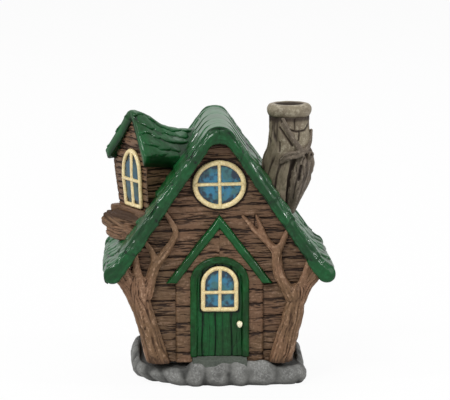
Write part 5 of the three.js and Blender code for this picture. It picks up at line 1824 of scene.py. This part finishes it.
# wood that was modelled as limbs: the trees, each with a seed of its own, the logs, the burl and its vines
wood = {
    "tree": {"depth": 0.8, "lump": 0.35, "softening": 2, "wash": 0.5, "voxel": 0.55},
    "log": {"seed": 223, "depth": 0.9, "lump": 0.35, "softening": 2, "wash": 0.6, "voxel": 0.5},
    "ledge": {"seed": 223, "depth": 0.6, "lump": 0.3, "softening": 2, "wash": 0.6, "voxel": 0.5},
    "burl": {"seed": 229, "depth": 0.4, "lump": 0.7, "softening": 4, "wash": 0.45, "voxel": 0.5},
    "vine": {"seed": 233, "depth": 0.55, "lump": 0.15, "softening": 1, "wash": 0.6, "voxel": 0.32},
}


def makeWood(name, node, limbs, spec, fit, material=bark, shells=None, cuts=()):
    # limbs melted together, or shells that bear the limbs' bark, which fit(points) puts in place and shades
    mesh = castTogether(name, shells or [limbShell(line) for line in limbs], spec["voxel"])
    points, marks = carveBark(mesh, limbs, spec)
    if cuts:
        depth = frontCuts(points, cuts)
        points = points - meshNormals(mesh) * depth[:, None]
        marks = marks * (1 - np.clip(depth / 0.9, 0, 0.95))
        setPoints(mesh, points)
    crevice = smoothStep(0.02, 0.42, hollowness(mesh))
    fitted, shade = fit(points)
    setPoints(mesh, fitted)
    setMarks(mesh, marks * crevice * shade)
    solidObject(name, mesh, "house", node, material)


# rows of limbs: inward from the corner, share of the wall's height, outward from the face, radius
frontLeftLimbs = [
    [(3.5, -0.05, 0.5, 6.6), (2.6, 0.24, 0.8, 6), (1.8, 0.5, 1, 5.6), (1, 0.72, 1.2, 5.2),
     (2, 0.84, 1.2, 3.8)],
    [(-0.6, 0.56, 0.8, 3.8), (-3.6, 0.76, 1, 3.4), (-8.2, 0.9, 0.6, 3), (-11, 1.02, 0, 2.6)],
    [(-1.5, 0.7, 1, 3), (-5, 0.88, 0.6, 2.9), (-7.6, 1.02, 0, 2.8)],
    [(0.5, 0.78, 0.8, 3), (-2.2, 0.92, 0.4, 2.8), (-4.6, 1.02, 0, 2.8)],
    [(1.2, 0.68, 2, 2.4), (-1.4, 0.82, 2, 2.1), (-4, 1, 1.4, 1.9)],
    [(4.4, 0.74, 2.4, 2.6), (3.4, 0.94, 2, 2.3), (3.2, 1.1, 1.4, 1.7)],
    [(6, 0.72, 2.4, 2.4), (10.4, 0.92, 1.8, 2.1), (13.2, 1.04, 1.4, 1.9), (11.6, 1.15, 1.2, 1.6),
     (8, 1.24, 1, 1.3)],
    [(6, 0.7, 2, 3.2), (12.4, 0.96, 1.6, 2.8), (18.8, 1.12, 1.2, 2.5), (23, 1.24, 1, 2.1),
     (24.6, 1.34, 0.8, 1.8),
     (21.6, 1.46, 0.8, 1.5), (18, 1.56, 0.6, 1.3)],
]
frontRightLimbs = [
    [(3.4, -0.05, 0.5, 6.6), (2.8, 0.24, 0.8, 6), (2.4, 0.5, 1.2, 5.6), (3, 0.72, 1.4, 5)],
    [(1, 0.6, 1, 3.8), (-1.6, 0.78, 1, 3.3), (-5.6, 0.9, 0.8, 2.9), (-8.4, 1.02, 0, 2.6)],
    [(0.4, 0.7, 1, 3), (-2.2, 0.88, 0.6, 2.9), (-4.6, 1.02, 0, 2.8)],
    [(3.2, 0.68, 2.2, 2.8), (1.2, 0.84, 2.2, 2.3), (0.2, 1.02, 1.4, 1.8)],
    [(5.4, 0.66, 2.4, 3.6), (12, 0.82, 2.4, 3.2), (16, 0.94, 2, 3), (17.4, 1.08, 1.8, 2.8),
     (17.4, 1.16, 1.6, 2.5)],
    [(17.6, 1.12, 1.6, 2.4), (22.4, 1.23, 1.2, 2.1), (28, 1.32, 0.8, 1.7), (32.6, 1.43, 0.6, 1.3),
     (35.6, 1.49, 0.4, 1)],
    [(21.6, 1.2, 1, 1.7), (25, 1.34, 0.8, 1.5), (27.4, 1.46, 0.6, 1.1), (28.4, 1.5, 0.4, 0.9)],
    [(17.4, 1.1, 1.6, 2.1), (14, 1.24, 1.2, 1.8), (11.4, 1.36, 0.8, 1.4)],
]
rearLimbs = [
    [(3.4, -0.05, 0, 6), (2.8, 0.26, 0.6, 5.6), (2.4, 0.52, 1, 5), (2.2, 0.76, 1.2, 4)],
    [(0.8, 0.6, 0.8, 3.2), (-2.4, 0.8, 0.8, 2.8), (-7.6, 1.0, 0.4, 2.2)],
    [(1.2, 0.7, 0.6, 3), (-1.8, 0.88, 0.4, 3), (-4.4, 1.02, 0, 2.8)],
    [(4, 0.66, 2, 3), (9.6, 0.9, 1.4, 2.6), (13.6, 1.14, 1, 2), (14.4, 1.3, 0.8, 1.5)],
]


def againstHouse(points):
    # what would come through a wall or up through the soffit ends inside them; painted shade darkens the feet
    # and the hollows against the walls
    fitted = keepOutOfHouse(points)
    limit = soffit(np.clip(fitted[:, 0], -house["eaveDrop"], house["eaveDrop"])) + 0.8
    fitted[:, 2] = np.minimum(fitted[:, 2], limit)
    across, deep, z = np.abs(points[:, 0]), np.abs(points[:, 1]), points[:, 2]
    standing = np.maximum(across - wallHalfBeside(points), deep - house["halfDepth"])
    shade = (0.35 + 0.65 * smoothStep(0.1, 1.3, standing)) * smoothStep(-2, 5, z - house["wallFoot"])
    return fitted, shade


def makeTree(node, rows, side, facing, seed):
    limbs = []
    for line in rows:
        inward, share, outward, radius = np.array(line).T
        z = house["wallFoot"] + share * wallHeight
        half = wallHalfAt(np.minimum(z, eaveHeight)) - inward
        limbs.append(asPoints(side * half, facing * (house["halfDepth"] + outward), z, radius))
    makeWood(node + "_bark", node, limbs, wood["tree"] | {"seed": seed}, againstHouse)


makeTree("front_left_tree", frontLeftLimbs, -1, -1, 241)
makeTree("front_right_tree", frontRightLimbs, 1, -1, 251)
makeTree("rear_left_tree", rearLimbs, -1, 1, 257)
makeTree("rear_right_tree", rearLimbs, 1, 1, 263)
print("trees made")


# the ledge under the dormer and the logs that carry it, as rows of x, y, z and radius from the dormer's sill
logs = {
    "upper": [[(5.5, -11, -12.4, 2.6), (0.5, -4.5, -10.4, 3.9), (-5.5, 3, -8.4, 4.8), (-10.4, 9.2, -6.2, 5.2),
               (-14.6, 13.8, -4.4, 4.7)],
              [(3, -6, -3.0, 4.0), (-4, 1.5, -2.8, 4.0), (-9.8, 8.4, -2.4, 3.6)]],
    "lower": [[(-1.5, -5, -13.0, 2.4), (-6.2, 1.4, -12.0, 3.5), (-10.6, 7, -11.2, 3.9),
               (-13.0, 10, -10.6, 3.4)],
              [(-1, -4.5, -9, 3.6), (-6.4, 2, -9.4, 4.2), (-10, 6.4, -9.2, 3.8)]],
}
ledge = {
    # the plan's corners, from the dormer's left or right edge
    "left": ((-1.5, 6), (-3.5, 1), (-2.5, -4.6), (0.5, -5.4)),
    "reach": 2.6,
    # heights over the sill, with the size of the plan at each
    "levels": ((-1.2, 0.94), (-0.7, 0.985), (1.3, 1.0), (2.6, 1.0), (3.4, 0.98), (3.7, 0.94)),
    "shade": 0.55,
}


def placedAt(origin, rows):
    return [np.array(line) + [*origin, 0] for line in rows]


def restOnRoof(points):
    # painted shade darkens what stands close to the roof
    standing = points[:, 2] - roofTop(points[:, 0])
    return keepOnRoof(points), 0.4 + 0.6 * smoothStep(0, 2.5, standing)


def sawnLog(points, line):
    # the log ends in a blunt face across its length; painted shade darkens it all a little, and more where it
    # meets the ledge
    end = line[-1, :3]
    ahead = unit(end - line[-2, :3])
    beyond = (points - end) @ ahead
    fitted, shade = restOnRoof(points - ahead * (0.85 * np.clip(beyond - 0.6, 0, None))[:, None])
    return fitted, 0.75 * shade * smoothStep(-0.4, 2.6, dormer["sill"] - 1.6 - fitted[:, 2])


def shadedLedge(points):
    fitted, shade = restOnRoof(points)
    return fitted, ledge["shade"] * shade


def makeLedge():
    # a worn slab of wood that wraps round the dormer's left corner
    left, right, reach = -dormer["left"], dormer["right"], ledge["reach"]
    corners = [(left + 5, -reach), (right, -reach + 0.4), (right, 6)]
    corners += [(left + x, y) for x, y in ledge["left"]]
    looped = np.array(corners + corners[:1])
    run = runLengths(looped)
    at = np.linspace(0, run[-1], 90, endpoint=False)
    plan = asPoints(np.interp(at, run, looped[:, 0]), np.interp(at, run, looped[:, 1]))
    middle = plan.mean(0)
    rings = []
    for z, size in ledge["levels"]:
        rings.append(dormerPlace(*(middle + (plan - middle) * size).T, dormer["sill"] - 0.2 + z))
    line = dormerPlace(np.array([left, 0, right]), np.array([-2.0, -1.0, -1.0]), dormer["sill"] + 1.6)
    limbs = [[(*place, 2.0) for place in line]]
    makeWood("worn_dormer_ledge", "dormer_sill", limbs, wood["ledge"], shadedLedge,
             shells=[closedRings(np.array(rings))])


makeLedge()
for place in ("upper", "lower"):
    limbs = placedAt((dormer["x"], dormer["y"], dormer["sill"]), logs[place])
    makeWood(place + "_corbel_bark", place + "_corbel_log", limbs, wood["log"],
             lambda points: sawnLog(points, limbs[0]))
print("ledge and logs made")


# the chimney: a stack half stone and half tree, a rolled collar, a burl and two vines
stack = {
    # height under the collar, and the left and right edge there
    "levels": np.array([(0, -11, 11), (-6, -11, 11), (-13, -11.3, 12.6), (-18, -12.4, 11), (-22, -14.6, 9.4),
                        (-34, -15, 7.4), (-48, -15.4, 3.4), (-64, -14, 0.6)]),
    # grooves on the front: a line of x and z, half width, depth
    "cuts": [
        ([(35.0, 139.5), (35.4, 136.2), (38.5, 133.6), (43.2, 132.4), (47.8, 132.9),
          (50.3, 136.5)], 0.7, 0.9),
        ([(41.9, 139.0), (42.1, 133.0)], 0.55, 0.7),
        ([(44.8, 132.4), (44.2, 127.6)], 0.65, 0.9),
        ([(33.8, 134.6), (41.0, 124.8)], 0.7, 0.9),
        ([(33.9, 126.6), (33.8, 121.6)], 0.6, 0.8),
        ([(43.6, 120.6), (42.3, 118.0), (41.1, 114.2), (39.5, 107.4), (38.8, 98.9), (38.6, 92.0)], 1.5, 2.2),
        ([(47.2, 122.5), (44.6, 118.6), (43.6, 116.0)], 0.6, 0.7),
    ],
    "stones": 7.5,
    "columns": 200,
    "rows": 190,
    # how far it goes up into the collar, and down from it
    "upTo": 0.8,
    "downTo": 62,
}


def stoneGrooves(places, spacing, seed):
    # 1 on the joints of a rubble of stones spread over rows of two numbers, 0 inside each stone
    rng = np.random.default_rng(seed)
    low, high = places.min(0) - spacing, places.max(0) + spacing
    across, up = np.arange(low[0], high[0], spacing), np.arange(low[1], high[1], spacing * 0.8)
    seeds = np.array([(x + spacing * (0.5 * (j % 2)), z) for j, z in enumerate(up) for x in across])
    seeds = seeds + rng.normal(0, 0.2 * spacing, seeds.shape)
    nearest = np.partition(np.linalg.norm(places[:, None] - seeds[None], axis=-1), 1, axis=1)
    return np.clip(1 - (nearest[:, 1] - nearest[:, 0]) / (0.24 * spacing), 0, 1)


def makeStack():
    foot, count = chimney["top"] - chimney["collarHeight"], stack["columns"]
    heights = np.linspace(foot + stack["upTo"], foot - stack["downTo"], stack["rows"])
    drops, *sides = stack["levels"].T
    sides = [np.pad(np.interp(foot - heights, -drops, side), 7, mode="edge") for side in sides]
    left, right = (np.convolve(side, np.ones(15) / 15, "valid") for side in sides)
    c, s = np.cos(fullTurn(count)), np.sin(fullTurn(count))
    z = heights[:, None]
    outer = asPoints(chimney["x"] + ((left + right) / 2)[:, None] + ((right - left) / 2)[:, None] * c,
                     chimney["y"] + (chimney["stackRadius"] + 0.7) * s, z)
    flat = outer.reshape(-1, 3)
    outward = asPoints(c, s, 0 * z).reshape(-1, 3)
    around = asPoints(12 * c, 12 * s, z).reshape(-1, 3)
    degrees = np.degrees(np.arctan2(around[:, 1], around[:, 0])) % 360
    around[:, 0] += 1.5 * np.sin(flat[:, 2] * 0.2)
    strands = creases(around, (3.2, 3.2, 26.0), 271, 0.7)
    fine = creases(around, (1.4, 1.4, 14.0), 273, 0.75)
    # the upper part is stone, in front and behind; the rest is the tree that it grows from
    high = smoothStep(116, 122, flat[:, 2])
    front = smoothStep(225, 240, degrees) * (1 - smoothStep(322, 340, degrees)) * high
    behind = smoothStep(15, 40, degrees) * (1 - smoothStep(150, 175, degrees)) * high
    rubble = stoneGrooves(asPoints(np.radians(degrees) * 12, flat[:, 2]), stack["stones"], 277) ** 1.5
    woody = 1 - np.maximum(front, behind)
    depth = woody * (0.7 * strands + 0.25 * fine) + 0.9 * behind * rubble
    cuts = frontCuts(flat, stack["cuts"]) * (flat[:, 1] < chimney["y"])
    depth = np.maximum(depth, cuts) + 0.15 * fine * (1 - woody)
    pitted = (0.12 + 0.3 * woody) * layeredNoise(flat, 2.0 + 2.0 * woody[:, None], 283)
    flat = flat + outward * (0.5 * layeredNoise(flat, 8.0, 281) + pitted - depth)[:, None]
    marks = 1 - np.clip(depth, 0, 1)
    # painted shade darkens the stack just under the collar; the tree part is a darker colour of its own
    marks = marks * (0.25 + 0.75 * smoothStep(0.2, 3.0, foot - flat[:, 2])) * (1 - 0.3 * woody)
    levels = np.linspace(heights[-1], heights[0], 14)[:, None]
    within = chimney["x"] + np.interp(levels, heights[::-1], right[::-1]) - 1.0
    inner = asPoints(np.minimum(chimney["x"] + chimney["flueRadius"] * c, within),
                     chimney["y"] + chimney["flueRadius"] * s, levels)
    points, quads, tris, marks = closedTorus(np.concatenate([flat.reshape(outer.shape), inner]),
                                             np.append(marks, np.zeros(inner[..., 0].size)))
    fitted, shade = restOnRoof(points)
    solidShells("stone_and_bark_stack", [(fitted, quads, tris, marks * shade)], "house",
                "chimney_stack", stump)


def makeCollar():
    top, flue, mouth = chimney["top"], chimney["flueRadius"], chimney["mouthRadius"]
    foot, roll = top - chimney["collarHeight"], chimney["collarHeight"] / 2
    lean = np.linspace(-np.pi / 2, np.pi / 2, 25)
    outside = asPoints(chimney["collarRadius"] - roll * 0.75 + roll * 0.75 * np.cos(lean),
                       foot + roll + roll * np.sin(lean))
    inside = [(mouth, top - 0.15), (mouth - 0.6, top - 0.6), (mouth - 1.0, top - 1.4), (flue + 0.1, top - 3),
              (flue, foot + 1), (flue, foot)]
    reach, z = np.concatenate([outside, inside]).T
    turn = fullTurn(150)[:, None]
    sample = asPoints(14 * np.cos(turn), 14 * np.sin(turn), z)
    outer = smoothStep(mouth - 0.5, mouth + 1.5, reach)
    lump = outer * (0.5 * layeredNoise(sample, (7.0, 7.0, 5.0), 291) - 0.2)
    crack = outer * 0.12 * creases(sample, (8.0, 8.0, 3.0), 293, 0.8)
    reach = reach + lump - crack
    rings = asPoints(chimney["x"] + reach * np.cos(turn), chimney["y"] + reach * np.sin(turn),
                     z + 0.35 * lump * (z > foot + roll))
    # darker down inside the mouth, and painted shade where the collar's foot meets the stack
    mouthDarkening = smoothStep(mouth - 1.5, mouth + 1.2, reach)
    marks = mouthDarkening * smoothStep(foot - 0.3, foot + 2.2, z) * (1 - 1.2 * crack)
    solidShells("rolled_chimney_collar", [closedTorus(rings, np.clip(marks, 0, 1))], "house",
                "chimney_collar", stump)


# rows of x, y, z and radius from the middle of the chimney's top
burl = [[(-0.4, -2, -60, 3.2), (2.6, -2, -51, 4.6), (6.2, -1.4, -41, 5.8), (8.6, -1, -32, 5.6),
         (7.6, -1, -24.5, 4.2),
         (6.2, -1, -20.6, 2.6)],
        [(0.4, -6, -58, 3.0), (2.8, -7, -48, 4.6), (5.0, -6.2, -38, 5.4), (6.2, -5.6, -31, 5.0),
         (6.0, -5, -25, 3.4)]]
stub = [[(9.6, -5.4, -31, 2.1), (10.8, -7.4, -28.4, 1.9), (11.4, -8.4, -27.2, 1.8)]]
burlCuts = [
    ([(45.6, 113.6), (44.9, 110.5), (44.2, 106.4)], 1.1, 1.5),
    ([(48.6, 121.0), (46.2, 115.0), (47.0, 109.0)], 0.5, 0.5),
    ([(42.2, 117.0), (43.4, 108.0), (41.2, 96.0)], 0.5, 0.45),
    ([(49.4, 116.0), (48.8, 108.0), (45.4, 98.0)], 0.45, 0.4),
]
stubCuts = [([(51.1, 119.9), (51.2, 119.4)], 1.0, 0.8)]
vines = {
    # degrees round the stack, height from its top, radius
    "paths": [
        [(250, -8.6, 1.5), (262, -13, 1.6), (276, -18.4, 1.7), (292, -23, 1.7), (306, -26.6, 1.5)],
        [(352, -16, 1.4), (336, -20.5, 1.6), (316, -24.4, 1.8), (290, -26.6, 1.7), (266, -27.4, 1.6),
         (244, -30.6, 1.3)],
    ],
    "apart": 0.95,
    "share": 0.66,
    "twist": 0.35,
}


def vineStrands():
    # each vine is two strands, one over the other, that lie on the stack
    strands, reach = [], chimney["stackRadius"] + 1.1
    for path in vines["paths"]:
        degrees, z, radius = np.array(path).T
        turn = np.radians(degrees)
        for side in (1, -1):
            level = chimney["top"] + z + side * vines["apart"]
            level = level + side * vines["twist"] * np.cos(1.7 * np.arange(len(turn)))
            x, y = chimney["x"] + reach * np.cos(turn), chimney["y"] + reach * np.sin(turn) - 0.3
            strands.append(asPoints(x, y, level, radius * vines["share"]))
    return strands


makeStack()
makeCollar()
chimneyTop = (chimney["x"], chimney["y"], chimney["top"])
for name, node, limbs, spec, cuts in (
        ("ridged_chimney_burl", "chimney_burl", placedAt(chimneyTop, burl), wood["burl"], burlCuts),
        ("stranded_chimney_vines", "chimney_vines", vineStrands(), wood["vine"], ()),
        ("hollow_burl_stub", "burl_stub", placedAt(chimneyTop, stub), wood["vine"], stubCuts)):
    makeWood(name, node, limbs, spec, restOnRoof, burlGlaze, cuts=cuts)
print("chimney made")


# the rock base and what stands on it
rock = {
    "halfWidth": 48.0,
    "halfDepth": 47.0,
    "rimRise": 3.2,
    "rimLow": 0.6,
    "rimSpan": 30.0,
    "rimWidth": 5.0,
    "bulge": 4.8,
    "count": 460,
    # shares of the half width and depth, and how far in the foot stands there
    "plan": [
        (-1.0, 0.17, 0.97), (-0.996, -0.298, 0.95), (-0.958, -0.596, 0.92), (-0.875, -0.787, 0.88),
        (-0.719, -0.898, 0.88), (-0.542, -0.962, 0.93), (-0.271, -1.0, 0.99), (0.0, -0.994, 1),
        (0.25, -1.0, 1),
        (0.5, -0.983, 0.97), (0.688, -0.953, 0.95), (0.885, -0.906, 0.99), (0.975, -0.776, 1),
        (0.983, -0.468, 1),
        (0.987, -0.085, 0.99), (0.987, 0.34, 0.97), (0.967, 0.702, 0.96), (0.854, 0.915, 0.95),
        (0.604, 0.987, 0.97), (0.208, 1.0, 0.98), (-0.208, 0.991, 0.98), (-0.583, 0.996, 0.97),
        (-0.844, 0.915, 0.95), (-0.975, 0.702, 0.96),
    ],
    # the boulders seen in front: place across, height, half width, half height and heft
    "frontBoulders": ((-44.0, 6.5, 6.0, 9.0, 0.9), (-35.4, 4.6, 6.0, 7.0, 0.8), (-24.6, 5.4, 7.4, 8.0, 0.95),
                      (-13.2, 6.0, 6.6, 9.6, 1.0), (-1.0, 6.4, 8.2, 8.6, 0.92), (10.4, 6.2, 6.0, 9.8, 0.88),
                      (22.6, 6.8, 10.0, 9.8, 1.0), (36.4, 5.6, 7.6, 9.8, 0.92), (44.6, 7.0, 6.0, 9.0, 0.95)),
    # from the ground up the side: how far in, and the height
    "side": ((5.0, 0.0), (1.8, 0.0), (0.7, 0.3), (0.2, 0.9), (0.0, 1.8), (0.0, 2.9), (0.1, 4.0),
             (0.3, 5.1), (0.6, 6.2),
             (0.95, 7.2), (1.4, 8.1), (1.9, 8.9), (2.45, 9.55), (3.0, 10.0), (3.6, 10.3), (4.2, 10.45)),
    # over the pocket that the house stands in: its size, and the share of the rim's height
    "pocket": ((1.012, 0.75), (1.004, 0.35), (0.998, 0.08), (0.985, 0.0), (0.94, 0.0), (0.85, 0.0),
               (0.6, 0.0),
               (0.3, 0.0), (0.05, 0.0)),
}


def closedCurve(rows, count):
    # a smooth closed curve through the rows, cut into even steps
    rows = np.asarray(rows, float)
    fine = curvePoints(np.concatenate([rows[-3:], rows, rows[:4]]), 24)[72:-72]
    run = runLengths(fine[:, :2])
    at = np.linspace(0, run[-1], count, endpoint=False)
    return np.stack([np.interp(at, run, column) for column in fine.T], axis=-1), at


def boulderSwell(run, heights, total, boulders, seed):
    # how far the rock stands out at each height and place round it: 0 between boulders, 1 on the fullest
    rng = np.random.default_rng(seed)
    swell = np.zeros((len(heights), len(run)))
    for at, middle, half, tall, heft in boulders:
        up = heights[:, None] - middle
        across = (run - at + total / 2) % total - total / 2 - rng.uniform(-0.5, 0.5) * up
        reach = np.zeros_like(across)
        for side in range(6):
            turn = (side + rng.uniform(-0.3, 0.3)) * np.pi / 3
            flat = (across / half * math.cos(turn) + up / tall * math.sin(turn)) / rng.uniform(0.85, 1.15)
            reach = np.maximum(reach, flat)
        swell += (heft * bump(reach, 2.2)) ** 4
    swell = swell**0.25
    return 0.25 * (np.roll(swell, 1, axis=1) + np.roll(swell, -1, axis=1)) + 0.5 * swell


def placeBoulders(run, x, y, total):
    # at set places in front, and side by side round the rest
    boulders = []
    for place, *shape in rock["frontBoulders"]:
        boulders.append((run[np.argmin(np.abs(x - place) + 100 * (y > -30))], *shape))
    rng = np.random.default_rng(301)
    firstAt, at = boulders[0][0], boulders[-1][0] + 10.0
    while (at - firstAt) % total < total - 7:
        half = rng.uniform(6.0, 9.5)
        boulders.append((at % total, rng.uniform(4.8, 6.6), half, rng.uniform(8.0, 10.0),
                         rng.uniform(0.8, 1.0)))
        at += half * rng.uniform(1.4, 1.7)
    return boulders


def makeRock():
    scaled = np.array(rock["plan"]) * [rock["halfWidth"], rock["halfDepth"], 1]
    curve, run = closedCurve(scaled, rock["count"])
    plan, (x, y, foot) = curve[:, :2], curve.T
    total = (run[1] - run[0]) * len(run)
    rimShare = np.clip(1 - (y / rock["rimSpan"]) ** 2, 0, None) ** 1.5
    behind = smoothStep(-rock["halfDepth"] + 4, -rock["rimSpan"] + 8, y)
    rise = rock["rimLow"] * behind + (rock["rimRise"] - rock["rimLow"]) * rimShare
    # the rock climbs against the step's front and to its right
    shelf = (4.0 + 0.5 * np.sin(0.21 * x + 1.0)) * smoothStep(-20, -14, x)
    shelf = shelf * (1 - smoothStep(22, 33, x)) * smoothStep(-30, -40, y)
    along = np.gradient(plan, axis=0)
    inward = unit(asPoints(-along[:, 1], along[:, 0]))
    inward = inward * -np.sign(np.sum(inward * plan))
    rings, marks = [], []
    heights = np.array([z for inset, z in rock["side"]])
    swells = boulderSwell(run, heights, total, placeBoulders(run, x, y, total), 303)
    for (inset, z), swell in zip(rock["side"], swells):
        level = z / house["deck"]
        reach = foot + (1 - foot) * np.clip(level * 1.6, 0, 1)
        cut = rock["bulge"] * (1 - swell) * (1 - 0.85 * level)
        dip = (0.35 + 0.9 * smoothStep(36, 43, np.abs(x))) * (1 - smoothStep(0, 0.5, swell))
        dip = dip * smoothStep(0.5, 1.0, level) * smoothStep(4.6, 2.0, inset) * smoothStep(5.4, 3.0, inset)
        height = z + (rise + shelf) * smoothStep(0.45, 0.95, level) - dip
        rings.append(np.column_stack([plan * reach[:, None] + inward * (inset + cut)[:, None], height]))
        # darker in the valleys between the boulders, and painted shade towards the bottom
        marks.append((0.3 + 0.7 * smoothStep(0.15, 0.9, swell)) * (0.45 + 0.55 * smoothStep(0, 4, z)))
    pocket, pocketHalf = plan * 0.905, rock["halfWidth"] - rock["rimWidth"] - 1.5
    pocket[:, 0] = np.clip(pocket[:, 0], -pocketHalf, pocketHalf)
    pocket[:, 1] = np.minimum(pocket[:, 1], rock["halfDepth"] - rock["rimWidth"] + 0.2)
    for size, lift in rock["pocket"]:
        rings.append(np.column_stack([pocket * size, house["deck"] + lift * (rise + shelf)]))
        # painted shade darkens the pocket's groove round where the house stands
        marks.append(np.full(len(x), 0.3 + 0.4 * lift + 0.3 * (size < 0.9)))
    rings, marks = np.array(rings), np.array(marks)
    lump = 1.1 * layeredNoise(rings, 9.0, 307) + 0.5 * layeredNoise(rings, 3.6, 311)
    onSide = (np.arange(len(rings)) < len(rock["side"]))[:, None]
    away = np.where(rings[..., 2] < 9, 1.0, 0.4 + 0.5 * smoothStep(36, 43, np.abs(rings[..., 0])))
    rings[..., :2] -= inward * (np.where(onSide, lump - 0.35, 0) * away)[..., None]
    lift = np.where(rings[..., 2] > 5, np.where(onSide, 0.6, 0.3) * lump, 0)
    rings[..., 2] = np.clip(rings[..., 2] + lift, 0, None)
    rings[:2, :, 2] = 0
    rings[..., 0] = np.clip(rings[..., 0] * 1.015, -rock["halfWidth"] - 1.2, rock["halfWidth"] + 0.6)
    rings[..., 1] = np.clip(rings[..., 1], -rock["halfDepth"] - 0.3, rock["halfDepth"] + 0.3)
    points, faces, marks = joinShells([closedRings(rings, marks)])
    mesh = toMesh("boulder_base", points, faces, marks)
    setMarks(mesh, marks * (0.3 + 0.7 * smoothStep(0.1, 0.55, hollowness(mesh, 12, 0.6))))
    solidObject("boulder_base", mesh, "base", "rock_base", stone)


def boxShell(low, high):
    x, y = np.array([low[0], high[0], high[0], low[0]]), np.array([low[1], low[1], high[1], high[1]])
    return closedRings(asPoints(x, y, np.array([[low[2]], [high[2]]])))


def makeHewn(name, node, blocks, spec, material, limit=None):
    # blocks of stone with their edges worn round
    mesh = castTogether(name, [boxShell(*block) for block in blocks], spec["voxel"])
    points = relaxed(mesh, spec["rounds"])
    setPoints(mesh, points)
    noise = layeredNoise(points, 6.0, spec["seed"]) + 0.5 * layeredNoise(points, 1.6, spec["seed"] + 3)
    points = points + meshNormals(mesh) * (spec["lump"] * (noise - 0.9))[:, None]
    points = limit(points) if limit else points
    setPoints(mesh, points)
    # painted shade darkens what reaches under the walls
    dark = 1 - 0.7 * smoothStep(30.5, 32.5, np.abs(points[:, 0]))
    setMarks(mesh, dark * smoothStep(0.05, 0.6, hollowness(mesh, 10, 0.7)))
    solidObject(name, mesh, "base", node, material)


# the step is cast a little larger, and then worn back to these sizes
doorStep = {
    "halfWidth": 15.0,
    "front": -46.1,
    "back": -38.2,
    "rise": 6.1,
    "wornHalf": 14.6,
    "wornFront": -44.3,
    "wornBack": -38.3,
    "wornRise": 5.8,
    "treadStart": -39.5,
    "treadFall": 0.08,
    "hewn": {"seed": 331, "lump": 0.5, "voxel": 0.5, "rounds": 12},
}
plinth = {
    "halfWidth": 29.5,
    "halfDepth": 31.5,
    "rise": 6.0,
    # bars across it, whose ends are the lugs that the walls sit on
    "barReach": 35.5,
    "barPlace": 22,
    "barHalf": 5,
    "barRise": 2.9,
    "hewn": {"seed": 337, "lump": 0.12, "voxel": 0.8, "rounds": 2},
}


def insideStep(points):
    x = np.clip(points[:, 0], -doorStep["wornHalf"], doorStep["wornHalf"])
    y = np.clip(points[:, 1], doorStep["wornFront"] + 0.5 * np.sin(0.3 * x), doorStep["wornBack"])
    sunk = doorStep["treadFall"] * np.clip(doorStep["treadStart"] - y, 0, None) ** 2
    worn = house["deck"] + doorStep["wornRise"] - sunk
    return asPoints(x, y, np.clip(points[:, 2], house["deck"] - 0.4, worn))


def makeStepAndPlinth():
    low, deck = house["deck"] - 0.6, house["deck"]
    half = doorStep["halfWidth"]
    block = ((-half, doorStep["front"], low), (half, doorStep["back"], deck + doorStep["rise"]))
    makeHewn("worn_door_step", "door_step", [block], doorStep["hewn"], wornStone, insideStep)
    half, deep, reach = plinth["halfWidth"], plinth["halfDepth"], plinth["barReach"]
    blocks = [((-half, -deep, low), (half, deep, deck + plinth["rise"]))]
    for side in (-1, 1):
        y = side * plinth["barPlace"]
        blocks.append(((-reach, y - plinth["barHalf"], low),
                       (reach, y + plinth["barHalf"], deck + plinth["barRise"])))
    makeHewn("hewn_plinth", "locating_plinth", blocks, plinth["hewn"], stone)


# what is turned: rows of radius, height and mark, from the underside to the inside
cup = {
    "foot": house["deck"] + 6.0,
    "columns": 120,
    "wobble": 0.14,
    "profile": [
        (0.5, 0, 0.3), (14, 0, 0.3), (15.7, 0, 0.4), (16.0, 0.3, 0.8), (15.8, 1.4, 0.9), (15.4, 2.6, 0.95),
        (15.0, 3.2, 1), (14.5, 3.5, 1), (13.4, 3.5, 0.9), (12.7, 3.35, 0.7), (12.45, 2.9, 0.4),
        (12.4, 1.3, 0.1),
        (12.4, 1, 0.1), (8, 1, 0.3), (0.5, 1, 0.4),
    ],
}
dish = {
    "foot": cup["foot"] + 1.0,
    "columns": 128,
    "wobble": 0.0,
    "profile": [
        (0.5, 0, 0.6), (6, 0, 0.7), (10.4, 0, 0.9), (11.0, 0.1, 1), (11.6, 0.45, 1), (11.9, 1.1, 0.9),
        (11.92, 2.0, 0.7), (11.8, 2.3, 0.3), (11.92, 2.6, 0.8), (11.92, 5, 0.9), (12.0, 5.6, 1),
        (12.0, 6.1, 1),
        (11.8, 6.42, 1), (11.5, 6.5, 1), (11.2, 6.35, 0.9), (11.1, 5.9, 0.6), (11.1, 2.2, 0.35),
        (10.8, 1.6, 0.15),
        (10.2, 1.25, 0.2), (6, 1.2, 0.4), (5.8, 1.35, 0.8), (5.5, 1.2, 0.3), (0.5, 1.2, 0.1),
    ],
}


def turnedShell(spec, seed):
    radius, z, marks = np.array(spec["profile"]).T[..., None]
    turn = fullTurn(spec["columns"])
    rings = asPoints(radius * np.cos(turn), radius * np.sin(turn), spec["foot"] + z)
    noise = np.abs(spec["wobble"] * layeredNoise(rings, 5.0, seed)) * (radius > 1)
    rings[..., 0] -= noise * np.cos(turn)
    rings[..., 1] -= noise * np.sin(turn)
    return closedRings(rings, marks + 0 * noise)


makeRock()
makeStepAndPlinth()
solidShells("stone_dish_cup", [turnedShell(cup, 321)], "base", "dish_cup", stone)
solidShells("turned_ash_dish", [turnedShell(dish, 0)], "ash_dish", "ash_dish", brass)
print("base made")
